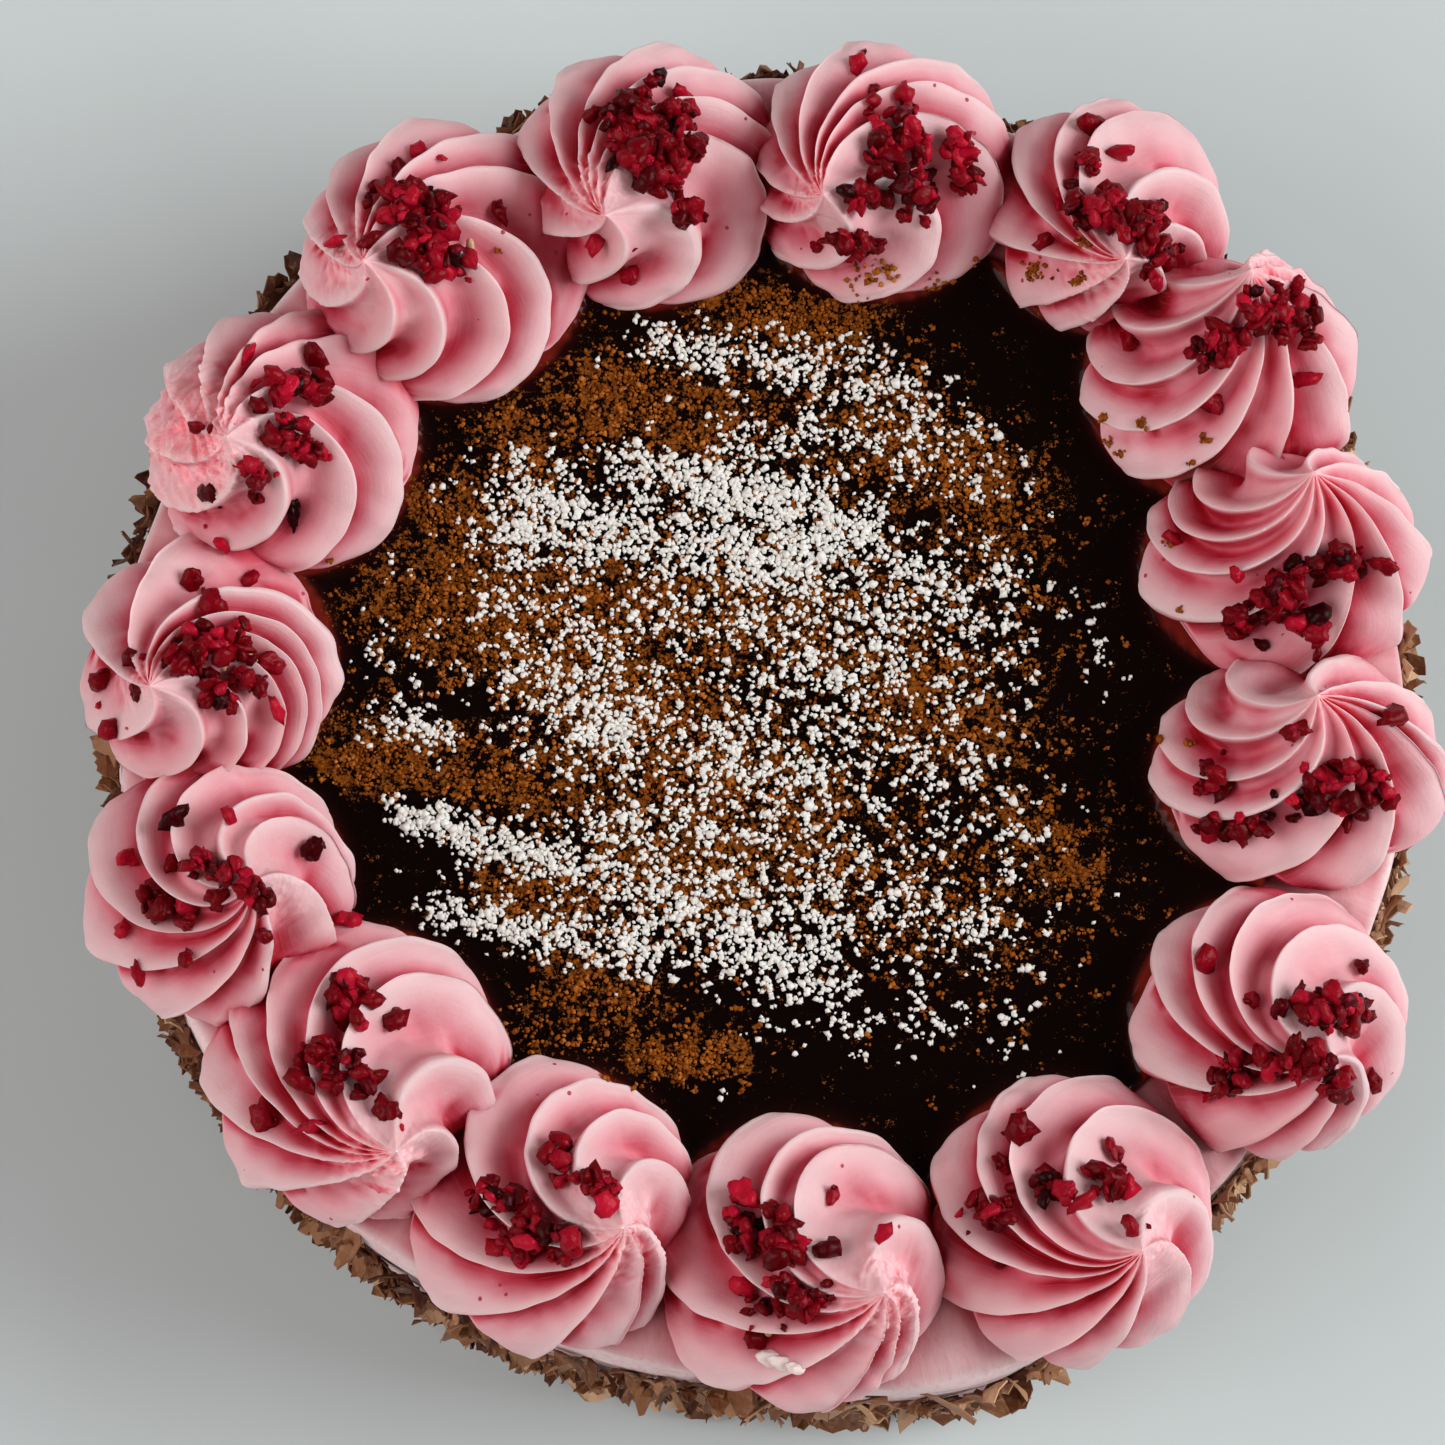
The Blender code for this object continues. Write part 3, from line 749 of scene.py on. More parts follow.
# %% Pipe the fifteen rosettes
shapes = [pipe_swirl(number) for number in range(1, len(ROSETTES) + 1)]
hollows = hollow_layers(shapes)
all_hollows = np.concatenate([hollow_shade.ravel() for hollow_shade in hollows])
print("hollow, from open to deep:", np.percentile(all_hollows, (5, 25, 50, 75, 90, 98)).round(2))
swirls = []
for number, ((points, faces, layers), hollow_shade) in enumerate(zip(shapes, hollows), 1):
    # Torn cream gets less of the painted shade.
    whole = 1.0 - 0.65 * np.clip(1.5 * layers["torn"] - 0.2, 0.0, 1.0)
    layers["hollow_shade"] = np.append(hollow_shade.ravel(), (0.0, 1.0)) * whole
    layers["groove_shade"] = layers["groove_shade"] * whole
    name = f"swirl_{number:02d}"
    replaced = (f"rosette_{number:02d}",)
    swirls.append(make_piece(name, points, faces, cream, replaced, layers=layers))

# %% [markdown]
# ## The frosted body
# The cake under the swirls is covered with the same cream, smoothed with a palette knife that leaves
# flat streaks around it. It is a surface of revolution made as a grid, so that streaks and small
# waves can be pressed into it. Most of its side is hidden by shaved chocolate, and it shows on the
# shoulder and between the rosettes.

# %% The frosting material
FROSTING_STEPS = ((0.3, (0.90, 0.71, 0.70)), (0.55, (0.86, 0.61, 0.61)), (0.75, (0.76, 0.42, 0.44)))
frosting, tree, shader = new_material("smoothed_frosting")
angle_streaks = add_node(
    tree,
    "ShaderNodeCombineXYZ",
    X=times(tree, layer_value(tree, "around"), 6.0),
    Y=times(tree, layer_value(tree, "across"), 0.9),
    Z=0.0,
).outputs[0]
knife = noise(tree, angle_streaks, 1.0, 5.0, 0.62)
pink = colour_steps(tree, knife, FROSTING_STEPS)
# Painted shade beside the swirls: a pinker band, and a deep red one close to their feet.
pink = mixed(tree, times(tree, layer_value(tree, "soft_swirl_shade"), 0.75), pink, (0.72, 0.31, 0.345))
pink = mixed(tree, times(tree, layer_value(tree, "deep_swirl_shade"), 0.92), pink, (0.36, 0.018, 0.035))
dress(tree, shader, pink, 0.5, 0.35)
bumps(tree, shader, (knife, 0.5, 0.5), (noise(tree, place_in(tree), 800.0), 0.12, 0.3))

# %% How far a place is from the swirls
def clear_of_swirls(x, y, height=1.5):
    """Distance to the nearest swirl's outline, in millimetres, negative inside it."""
    nearest = np.full(np.shape(x), 1e3)
    for number in range(1, len(ROSETTES) + 1):
        cx, cy, rx, ry = outline_at(number, height)
        scaled = np.hypot((x - cx) / rx, (y - cy) / ry)
        nearest = np.minimum(nearest, (scaled - 1.0) * 0.5 * (rx + ry))
    return nearest

# %% The profile and the bulge of the side
BODY_PROFILE = (
    (4.0, 0.0),
    (60.0, 0.0),
    (101.0, 0.0),
    (102.4, 1.6),
    (102.9, 12.0),
    (103.0, 30.0),
    (103.1, 48.0),
    (103.1, 57.0),
    (102.2, 62.6),
    (99.8, 65.9),
    (96.0, 67.1),
    (92.0, 67.2),
    (88.0, 66.7),
    (84.0, 65.8),
    (74.0, 65.0),
    (40.0, 65.0),
    (4.0, 65.0),
)
SHOULDER = 60.0
FRONT_BULGE = 2.0
SHELF_BULGE = 6.0
SHELF_BULGE_AT = -70.0


def body_bulge(turn):
    """How far the side stands out from a circle at an angle, in millimetres."""
    apart = (np.degrees(turn) - SHELF_BULGE_AT + 180.0) % 360.0 - 180.0
    return FRONT_BULGE * np.sin(turn) ** 2 + SHELF_BULGE * np.exp(-((apart / 14.0) ** 2))

# %% Shape the frosted body
AROUND = 900
UPWARD = 150
BODY_TOP = 65.0
SIDE_WAVES = 0.35
KNIFE_DEPTH = 0.30
TOP_WAVES = 0.25
profile = smooth_line(BODY_PROFILE, np.linspace(0.0, 1.0, UPWARD))
turn = np.linspace(0.0, 2.0 * np.pi, AROUND, endpoint=False)[None, :]
radius = profile[:, 0][:, None] + 0.0 * turn
height = np.maximum(profile[:, 1][:, None], 0.0) + 0.0 * turn
place = np.stack([radius * np.cos(turn), radius * np.sin(turn), height], axis=-1)
sides = np.clip((height - 3.0) / 8.0, 0.0, 1.0)
strokes = np.stack([turn * 25.0 + 0.0 * radius, 0.0 * radius, radius * 0.8 + height * 1.4], -1)
knife_marks = drift(strokes, 7.0, 5)
radius = radius + sides * (SIDE_WAVES * drift(place, 24.0, 6) + KNIFE_DEPTH * knife_marks)
wavy = height + TOP_WAVES * knife_marks + TOP_WAVES * drift(place, 15.0, 7)
height = np.where(height > SHOULDER, wavy, height)
radius = radius + body_bulge(turn) * np.clip((radius - 88.0) / 12.0, 0.0, 1.0)
place = np.stack([radius * np.cos(turn), radius * np.sin(turn), height], axis=-1).reshape(-1, 3)
height = height.ravel()

# %% Where painted shade darkens the frosting beside the swirls
# How far the painted shade reaches from the swirls, in millimetres.
DEEP_SHADE_REACH = 3.6
SOFT_SHADE_REACH = 11.0
# Painted shade: frosting on the top beside a swirl is painted deep red close to it and pinker a little
# further out, less so at the shelf.
gap = np.where(height > SHOULDER, clear_of_swirls(place[:, 0], place[:, 1], 4.0), 20.0)
on_top = np.clip((height - 61.5) / 3.5, 0.0, 1.0)
deep_swirl_shade = np.exp(-np.clip(gap + 0.5, 0.0, None) / DEEP_SHADE_REACH) * on_top
from_shelf = np.degrees(np.arctan2(place[:, 1], place[:, 0])) - SHELF_BULGE_AT
less_at_shelf = 1.0 - 0.4 * np.exp(-((from_shelf / 24.0) ** 2))
soft_swirl_shade = np.exp(-((np.clip(gap, 0.0, None) / SOFT_SHADE_REACH) ** 2)) * on_top * less_at_shelf
body_layers = {
    "around": np.append(np.tile(turn[0] * 16.0, UPWARD), (0, 0)),
    "across": np.append(np.repeat(profile[:, 0] + profile[:, 1], AROUND), (0, 0)),
    "deep_swirl_shade": np.append(deep_swirl_shade, (0, 0)),
    "soft_swirl_shade": np.append(soft_swirl_shade, (0, 0)),
}
under = fan(0, AROUND, len(place), flip=True)
over = fan(len(place) - AROUND, AROUND, len(place) + 1)
make_piece(
    "frosted_cake",
    np.vstack([place, [[0.0, 0.0, 0.0], [0.0, 0.0, BODY_TOP]]]),
    (ring_faces(UPWARD, AROUND)[:, ::-1], under, over),
    frosting,
    ("cake_body",),
    layers=body_layers,
)

# %% [markdown]
# ## Where cocoa and sugar lie
# Cocoa was sieved over the glaze and coarse white sugar thrown over it by hand, in slanting bands.
# Each band is a stroke across the picture: a start, an end, a width and a share of the grains. The
# glaze needs them first, because the finest cocoa is a film on it, and the grains are scattered from
# the same bands later.

# %% Bands of grains
COCOA_BANDS = (
    ((720, 300), (860, 322), 22, 7), ((590, 395), (700, 425), 32, 6), ((500, 420), (560, 500), 28, 4),
    ((440, 500), (480, 545), 28, 5), ((400, 600), (545, 640), 40, 15), ((560, 590), (760, 620), 32, 9),
    ((540, 665), (700, 720), 32, 10), ((360, 740), (560, 790), 28, 9), ((600, 740), (800, 800), 38, 12),
    ((820, 620), (960, 700), 50, 8), ((900, 705), (1000, 745), 32, 4), ((620, 830), (740, 880), 34, 6),
    ((1020, 820), (1090, 870), 24, 3), ((820, 870), (1000, 920), 50, 8), ((500, 880), (560, 900), 24, 3),
    ((505, 1040), (740, 1040), 26, 4), ((640, 1062), (735, 1060), 12, 4), ((560, 980), (640, 990), 28, 4),
    ((800, 700), (1050, 1000), 90, 7), ((680, 500), (1000, 560), 70, 12), ((880, 420), (1010, 500), 34, 8),
    ((1000, 450), (1080, 800), 40, 3), ((480, 380), (900, 350), 40, 3), ((520, 900), (700, 900), 40, 6),
    ((335, 755), (372, 780), 16, 2), ((620, 360), (920, 430), 60, 8), ((480, 560), (900, 820), 150, 16),
)
SUGAR_BANDS = (
    ((645, 341), (800, 368), 15, 9), ((790, 362), (945, 408), 20, 8), ((800, 420), (1010, 475), 26, 8),
    ((720, 430), (800, 450), 18, 3), ((620, 462), (740, 492), 15, 9), ((720, 485), (865, 535), 22, 17),
    ((500, 486), (605, 515), 20, 7), ((480, 532), (640, 540), 22, 12), ((630, 535), (820, 568), 24, 16),
    ((860, 540), (1010, 600), 34, 8), ((690, 565), (890, 713), 62, 24), ((500, 680), (660, 713), 24, 9),
    ((368, 718), (460, 732), 14, 4), ((555, 735), (820, 770), 28, 15), ((400, 812), (470, 835), 11, 6),
    ((470, 835), (550, 862), 14, 6), ((546, 862), (693, 894), 20, 7), ((430, 905), (560, 935), 15, 8),
    ((560, 935), (665, 955), 17, 7), ((660, 900), (820, 962), 36, 20), ((580, 826), (690, 815), 16, 4),
    ((700, 820), (900, 860), 40, 10), ((829, 894), (1015, 939), 34, 8), ((760, 975), (954, 1030), 24, 4),
    ((863, 600), (1040, 640), 44, 8), ((900, 690), (1020, 860), 42, 6), ((480, 600), (640, 640), 30, 5),
    ((360, 640), (460, 690), 26, 2), ((450, 560), (980, 860), 130, 22), ((1090, 640), (1096, 665), 10, 0.4),
    ((980, 1010), (1050, 1060), 22, 1),
)


def pixels_of(points):
    """Where points, in millimetres, show in the picture."""
    seen = points - np.array(eye)
    depth = -(seen @ np.array(towards))
    scale = CAMERA_DISTANCE / PIXEL_MM / depth
    half = FRAME_PIXELS / 2.0
    return half + (seen @ np.array(side)) * scale, half - (seen @ np.array(upward)) * scale


def band_density(bands, x, y):
    """How thickly the bands lie at places in the picture."""
    total = np.zeros(np.shape(x))
    for (x0, y0), (x1, y1), width, weight in bands:
        span = np.array([x1 - x0, y1 - y0], float)
        length = np.hypot(*span)
        part = np.clip(((x - x0) * span[0] + (y - y0) * span[1]) / length**2, 0.0, 1.0)
        apart = np.hypot(x - x0 - part * span[0], y - y0 - part * span[1])
        total += weight / (width * (length + 2.0 * width)) * np.exp(-0.5 * (apart / (0.9 * width)) ** 2)
    return total * 1000.0

# %% [markdown]
# ## The glaze pool
# The glaze was poured inside the ring of swirls, so it is flat in the middle and climbs a little
# where it touches cream, and between two swirls it ends in a rounded lip. Those slopes catch the
# window's light. The pool is a polar grid; the climb is worked out from how far each point is from
# the nearest swirl.

# %% Shape the glaze
POOL_TOP = 67.35
POOL_FOOT = 65.4
POOL_ROWS = 150
POOL_AROUND = 1080
LIP_WIDTH = 2.2
LIP_DROP = 1.4
CLIMB_HEIGHT = 1.0
CLIMB_REACH = 0.8
turn = np.linspace(0.0, 2.0 * np.pi, POOL_AROUND, endpoint=False)[None, :]
edge = 84.5 + 1.1 * np.sin(3 * turn + 0.5) + 0.8 * np.sin(7 * turn + 1.9) + 0.5 * np.sin(16 * turn + 0.4)
inner = np.linspace(0.01, 0.9, POOL_ROWS // 3, endpoint=False)
outer = np.linspace(0.9, 1.0, POOL_ROWS - POOL_ROWS // 3)
radius = edge * np.concatenate([inner, outer])[:, None]
x = radius * np.cos(turn)
y = radius * np.sin(turn)
gap = clear_of_swirls(x, y)
climb = CLIMB_HEIGHT * np.exp(-np.clip(gap + 0.6, 0.0, None) / CLIMB_REACH)
over_lip = np.clip(radius - (edge - LIP_WIDTH), 0.0, None) / LIP_WIDTH
lip = np.sqrt(np.clip(1.0 - over_lip**2, 0.0, 1.0))
height = POOL_TOP - LIP_DROP * (1.0 - lip) + climb * lip
height = height + 0.04 * drift(np.stack([x, y, 0.0 * x], -1), 30.0, 21)
rows = np.stack([x, y, height], -1).reshape(-1, 3)
skirt = np.stack([x[-1], y[-1], np.full(POOL_AROUND, POOL_FOOT)], -1)
points = np.vstack([rows, skirt, [[0.0, 0.0, POOL_TOP], [0.0, 0.0, POOL_FOOT]]])
centre = fan(0, POOL_AROUND, len(points) - 2)
under = fan(len(rows), POOL_AROUND, len(points) - 1, flip=True)
rim = np.exp(-np.clip(gap + 0.4, 0.0, None) / 0.9) + (1.0 - lip)
rim = np.concatenate([rim.ravel(), np.ones(POOL_AROUND), [0.0, 0.0]])
film = np.clip(band_density(COCOA_BANDS, *pixels_of(points)), 0.0, 1.1)
print("cocoa film: mean", round(float(film.mean()), 2), "most", round(float(film.max()), 2))

# %% The glaze material
RIM_STEPS = ((0.0, (0.0035, 0.0012, 0.0008)), (0.45, (0.016, 0.0015, 0.0010)), (1.0, (0.16, 0.012, 0.007)))
glaze, tree, shader = new_material("dark_glaze")
where = place_in(tree)
dusted = times(tree, noise(tree, where, 300.0, 2.0), 0.35)
dusted = calculated(tree, "MULTIPLY_ADD", noise(tree, where, 1300.0, 4.0, 0.72), 0.65, dusted)
dusted = calculated(tree, "MULTIPLY_ADD", layer_value(tree, "film"), 0.108, dusted)
powder = colour_steps(tree, dusted, ((0.613, (0.0, 0.0, 0.0)), (0.640, (1.0, 1.0, 1.0))))
dark = colour_steps(tree, layer_value(tree, "rim"), RIM_STEPS)
fine = noise(tree, where, 1500.0)
cocoa_brown = colour_steps(tree, fine, ((0.35, (0.09, 0.020, 0.0009)), (0.65, (0.29, 0.079, 0.007))))
dusted_roughness = calculated(tree, "MULTIPLY_ADD", powder, 0.85, 0.10)
dress(tree, shader, mixed(tree, powder, dark, cocoa_brown), dusted_roughness, 0.10)
bumps(tree, shader, (noise(tree, where, 60.0, 2.0), 0.15, 0.12), (powder, 0.3, 0.7))
faces = (ring_faces(POOL_ROWS + 1, POOL_AROUND), centre, under)
layers = {"rim": rim, "film": film}
make_piece("glaze_pool", points, faces, glaze, ("chocolate_glaze",), layers=layers)

# %% [markdown]
# ## Scattered things
# Raspberry crumbs, cocoa, sugar and shavings are all many copies of a few small shapes. Each kind is
# one mesh: every copy gets a size, a turn and a place, all worked out at once with arrays. A named
# tone for each copy lets the material make one crumb darker than the next.

# %% Copies of small shapes in one mesh
def lump(detail, roughness, seed):
    """Points and faces of a small uneven lump about one millimetre in radius."""
    made = bmesh.new()
    bmesh.ops.create_icosphere(made, subdivisions=detail, radius=1.0)
    points = np.array([v.co[:] for v in made.verts])
    faces = np.array([[v.index for v in f.verts] for f in made.faces])
    made.free()
    draw = np.random.default_rng(seed)
    grown = 1.0 + roughness * (drift(points, 2.2, seed, 8) + 0.55 * drift(points, 0.9, seed + 1, 8))
    points = points * np.clip(grown, 0.35, 1.9)[:, None]
    return points + draw.normal(0.0, 0.03, points.shape), faces


def random_turns(draw, count):
    """Random rotation matrices."""
    q = draw.normal(size=(count, 4))
    w, x, y, z = (q / np.linalg.norm(q, axis=1)[:, None]).T
    first = [1 - 2 * (y * y + z * z), 2 * (x * y - z * w), 2 * (x * z + y * w)]
    second = [2 * (x * y + z * w), 1 - 2 * (x * x + z * z), 2 * (y * z - x * w)]
    third = [2 * (x * z - y * w), 2 * (y * z + x * w), 1 - 2 * (x * x + y * y)]
    return np.stack([np.stack(row, -1) for row in (first, second, third)], axis=1)


def copies(name, shapes, places, sizes, turns, material, tones, smooth=True):
    """One piece with a copy of a shape at every place; the shapes take turns."""
    points, faces, tone = [], [], []
    count = 0
    for k, (shape, corners) in enumerate(shapes):
        mine = slice(k, None, len(shapes))
        centre, size, turned = places[mine], sizes[mine], turns[mine]
        if not len(centre):
            continue
        grown = shape[None, :, :] * size[:, None, :]
        moved = np.einsum("nij,nvj->nvi", turned, grown) + centre[:, None, :]
        first = count + np.arange(len(centre))[:, None, None] * len(shape)
        points.append(moved.reshape(-1, 3))
        faces.append((corners[None, :, :] + first).reshape(-1, corners.shape[1]))
        tone.append(np.repeat(tones[mine], len(shape)))
        count += len(centre) * len(shape)
    layers = {"tone": np.concatenate(tone)}
    return make_piece(name, np.vstack(points), faces, material, smooth=smooth, layers=layers)

# %% [markdown]
# ## Shaved chocolate on the side
# Shavings are thin curled strips of milk chocolate, pressed against the frosting by hand: they lie
# every way, overlap, and their ends stand off the side. Each shape here is a small ragged strip bent
# over its length, with a top, an underside and edges. A stretch at the front is left almost bare near
# the rim, as the hand left it.

# %% The shape of a shaving
def shaving(seed):
    """A curled ragged strip, about 2 mm long and 1 mm wide before it is sized."""
    draw = np.random.default_rng(seed)
    along, across = 4, 3
    thickness = 0.11
    s = np.linspace(-1.0, 1.0, along)[:, None]
    w = np.linspace(-1.0, 1.0, across)[None, :]
    ragged = draw.uniform(0.72, 1.25, (along, 1)) * (1.0 - 0.55 * np.abs(s) ** 3)
    bend = draw.uniform(0.25, 1.1)
    x = np.sin(s * bend) / bend + draw.normal(0.0, 0.06, (along, across))
    z = (1.0 - np.cos(s * bend)) / bend + 0.25 * draw.uniform(-1, 1) * w * s + 0.10 * w**2
    y = 0.5 * w * ragged + draw.normal(0.0, 0.05, (along, across)) + draw.uniform(-0.2, 0.2) * s**2
    top = np.stack([x, y, z + 0.0 * w], -1).reshape(-1, 3)
    low = top - np.array([0.0, 0.0, thickness])
    cell = (np.arange(along - 1)[:, None] * across + np.arange(across - 1)[None, :]).ravel()
    upper = np.stack([cell, cell + across, cell + across + 1, cell + 1], -1)
    lower = upper[:, ::-1] + along * across
    border = (
        [i * across for i in range(along)]
        + [(along - 1) * across + j for j in range(1, across)]
        + [i * across + across - 1 for i in range(along - 2, -1, -1)]
        + list(range(across - 2, 0, -1))
    )
    a = np.array(border)
    b = np.roll(a, -1)
    edge = np.stack([b, a, a + along * across, b + along * across], -1)
    return np.vstack([top, low]), np.vstack([upper, lower, edge])

# %% The shaving material
BROWN_STEPS = ((0.0, (0.07, 0.016, 0.004)), (0.5, (0.25, 0.098, 0.038)), (1.0, (0.60, 0.37, 0.22)))
chocolate, tree, shader = new_material("milk_chocolate")
brown = colour_steps(tree, layer_value(tree, "tone"), BROWN_STEPS)
scrape = noise(tree, place_in(tree), 650.0, 4.0, 0.65)
brown = mixed(tree, above(tree, scrape, 0.5, 1.6), brown, (0.44, 0.27, 0.19))
dress(tree, shader, brown, 0.55, 0.2)
bumps(tree, shader, (scrape, 0.35, 0.6))

# %% Where the shavings lie
SHAVINGS = 4500
BARE_AT = -72.0
LOWEST = 2.15
MOST_STAND = 2.2
MOST_TIPPED = 78.0
WALL_HEIGHTS = (0.0, 3.0, 12.0, 57.0, 62.6, 66.0)
WALL_RADII = (101.6, 102.6, 102.9, 103.1, 102.2, 99.6)
draw = np.random.default_rng(31)
turn = draw.uniform(-180.0, 180.0, 3 * SHAVINGS)
height = draw.uniform(0.0, 1.0, 3 * SHAVINGS) ** 1.15
bare = np.exp(-(((turn - BARE_AT) / 15.0) ** 4)) * (0.35 + 0.6 * np.clip((height - 0.45) / 0.2, 0.0, 1.0))
kept = draw.uniform(size=3 * SHAVINGS) > bare
turn = np.radians(turn[kept][:SHAVINGS])
front = 0.5 - 0.5 * np.sin(turn)
shoulder = 6.5 * np.exp(-(((np.degrees(turn) + 40.0) / 11.0) ** 2))
height = 1.2 + (58.5 - 4.0 * front + shoulder) * height[kept][:SHAVINGS]
sunlit = np.cos(turn + np.radians(30.0))
length = (0.9 + 0.12 * sunlit) * draw.uniform(1.2, 3.8, SHAVINGS)
length = length * np.where(draw.uniform(size=SHAVINGS) < 0.16, 1.6, 1.0)
width = length * draw.uniform(0.35, 0.75, SHAVINGS)

# %% Press the shavings on
tip_up = np.radians(np.clip(np.abs(draw.normal(0.0, 26.0, SHAVINGS)), 0.0, MOST_TIPPED))
roll = draw.uniform(0.0, 2.0 * np.pi, SHAVINGS)
wall = np.interp(height, WALL_HEIGHTS, WALL_RADII) + body_bulge(turn)
radial = np.stack([np.cos(turn), np.sin(turn), np.zeros(SHAVINGS)], -1)
level = np.stack([-np.sin(turn), np.cos(turn), np.zeros(SHAVINGS)], -1)
rise = np.tile([0.0, 0.0, 1.0], (SHAVINGS, 1))
flat = np.cos(roll)[:, None] * level + np.sin(roll)[:, None] * rise
cross = -np.sin(roll)[:, None] * level + np.cos(roll)[:, None] * rise
long_way = np.cos(tip_up)[:, None] * flat + np.sin(tip_up)[:, None] * radial
face_way = -np.sin(tip_up)[:, None] * flat + np.cos(tip_up)[:, None] * radial
stand = 0.35 + 0.6 * length * np.sin(tip_up) + draw.uniform(0.0, 1.2, SHAVINGS)
place = radial * (wall + np.minimum(stand, MOST_STAND))[:, None] + rise * height[:, None]
reach = length * np.abs(long_way[:, 2]) + 0.5 * width * np.abs(cross[:, 2])
place[:, 2] = np.maximum(place[:, 2], 1.08 * reach + LOWEST)
sizes = np.stack([length, 2.0 * width, np.full(SHAVINGS, 2.4)], -1)
turned = np.stack([long_way, cross, face_way], -1)
# Shavings on the lit side of the cake get a lighter tone: painted light, added to their random tone.
tones = np.clip(draw.normal(0.33, 0.3, SHAVINGS) + 0.26 * sunlit, 0.0, 1.0)
strips = [shaving(200 + k) for k in range(16)]
copies("shavings", strips, place, sizes, turned, chocolate, tones, smooth=False)

# %% [markdown]
# ## Dried raspberry on the swirls
# Freeze-dried raspberry is crumbled over the swirls: most of it lies in one loose heap on each swirl
# and the rest in single crumbs. The heaps are given as strokes, from one place in the picture to
# another with a width and a count. Each crumb is dropped along the camera's line of sight onto the
# cream, or onto a crumb that already lies there, so it rests on something from every side.

# %% Where the heaps and single crumbs lie
HEAPS = (
    ((648, 118), (655, 152), 46, 105),
    ((682, 205), (690, 215), 14, 11),
    ((892, 100), (905, 205), 32, 72),
    ((945, 150), (972, 180), 18, 20),
    ((820, 248), (880, 240), 13, 22),
    ((868, 190), (850, 200), 12, 10),
    ((1072, 205), (1120, 222), 20, 42),
    ((1130, 215), (1165, 262), 25, 44),
    ((1080, 160), (1086, 172), 10, 8),
    ((1200, 355), (1240, 340), 17, 34),
    ((1250, 300), (1310, 330), 27, 46),
    ((1225, 632), (1290, 590), 14, 36),
    ((1285, 575), (1355, 560), 15, 34),
    ((1300, 610), (1318, 650), 13, 11),
    ((1200, 832), (1268, 820), 14, 34),
    ((1195, 782), (1225, 785), 11, 11),
    ((1300, 800), (1380, 785), 30, 58),
    ((1215, 1080), (1340, 1058), 18, 50),
    ((1285, 1015), (1355, 1010), 22, 42),
    ((1320, 1082), (1345, 1085), 9, 8),
    ((478, 1190), (515, 1215), 14, 25),
    ((500, 1240), (570, 1245), 22, 53),
    ((555, 1150), (560, 1180), 8, 11),
    ((580, 1178), (610, 1190), 11, 13),
    ((735, 1200), (745, 1255), 12, 20),
    ((770, 1225), (800, 1255), 17, 25),
    ((740, 1300), (830, 1298), 16, 36),
    ((345, 985), (350, 1020), 15, 28),
    ((318, 1060), (355, 1075), 26, 53),
    ((150, 900), (200, 922), 14, 20),
    ((180, 862), (235, 872), 13, 17),
    ((240, 870), (265, 900), 11, 10),
    ((180, 655), (240, 640), 24, 53),
    ((200, 690), (260, 685), 15, 22),
    ((255, 395), (325, 385), 17, 31),
    ((275, 430), (315, 450), 19, 31),
    ((245, 470), (260, 490), 13, 13),
    ((380, 205), (440, 215), 24, 48),
    ((410, 250), (455, 270), 20, 36),
    ((975, 1210), (1005, 1215), 16, 20),
    ((1040, 1190), (1065, 1185), 13, 13),
    ((1095, 1180), (1130, 1185), 13, 13),
)
SINGLES = (
    (590, 115), (598, 238), (633, 275), (855, 68), (960, 180), (1088, 128), (1118, 155), (1045, 245),
    (1131, 335), (1303, 375), (1213, 398), (1295, 285), (1385, 560), (1237, 572), (1175, 540), (1262, 645),
    (1315, 630), (1390, 712), (1220, 780), (1298, 730), (1205, 965), (1250, 1000), (1360, 965), (1373, 1078),
    (1022, 1132), (997, 1165), (1015, 1190), (1055, 1190), (1115, 1190), (985, 1225), (1110, 1150),
    (1083, 1205), (1133, 1228), (998, 1263), (780, 1220), (740, 1200), (780, 1295), (828, 1250), (880, 1237),
    (830, 1195), (757, 1335), (545, 1155), (585, 1180), (608, 1205), (350, 985), (300, 1085), (370, 1000),
    (395, 1020), (265, 1122), (310, 1130), (390, 1110), (175, 820), (228, 818), (310, 845), (128, 860),
    (175, 865), (215, 900), (165, 915), (125, 930), (190, 960), (268, 935), (138, 970), (345, 915),
    (248, 895), (212, 600), (250, 578), (192, 580), (133, 665), (138, 690), (102, 682), (115, 728),
    (272, 660), (277, 705), (247, 352), (315, 357), (195, 428), (310, 390), (255, 480), (210, 493),
    (298, 510), (225, 545), (420, 152), (397, 172), (497, 210), (343, 243), (373, 245), (440, 270),
)
SEEDS = ((465, 243), (245, 650), (222, 657), (1237, 1075), (772, 1338))

# %% Down the line of sight onto the cream
depsgraph = bpy.context.evaluated_depsgraph_get()
swirl_trees = [BVHTree.FromObject(swirl, depsgraph) for swirl in swirls]


def drop(x, y):
    """Where the sight line through a place in the picture meets cream: point in millimetres, and normal."""
    ray = pixel_ray(x, y)
    nearest = None
    for swirl_tree in swirl_trees:
        hit, normal, _, distance = swirl_tree.ray_cast(eye * MM, ray)
        if hit is not None and (nearest is None or distance < nearest[2]):
            nearest = (hit / MM, normal, distance)
    return nearest[:2] if nearest else None

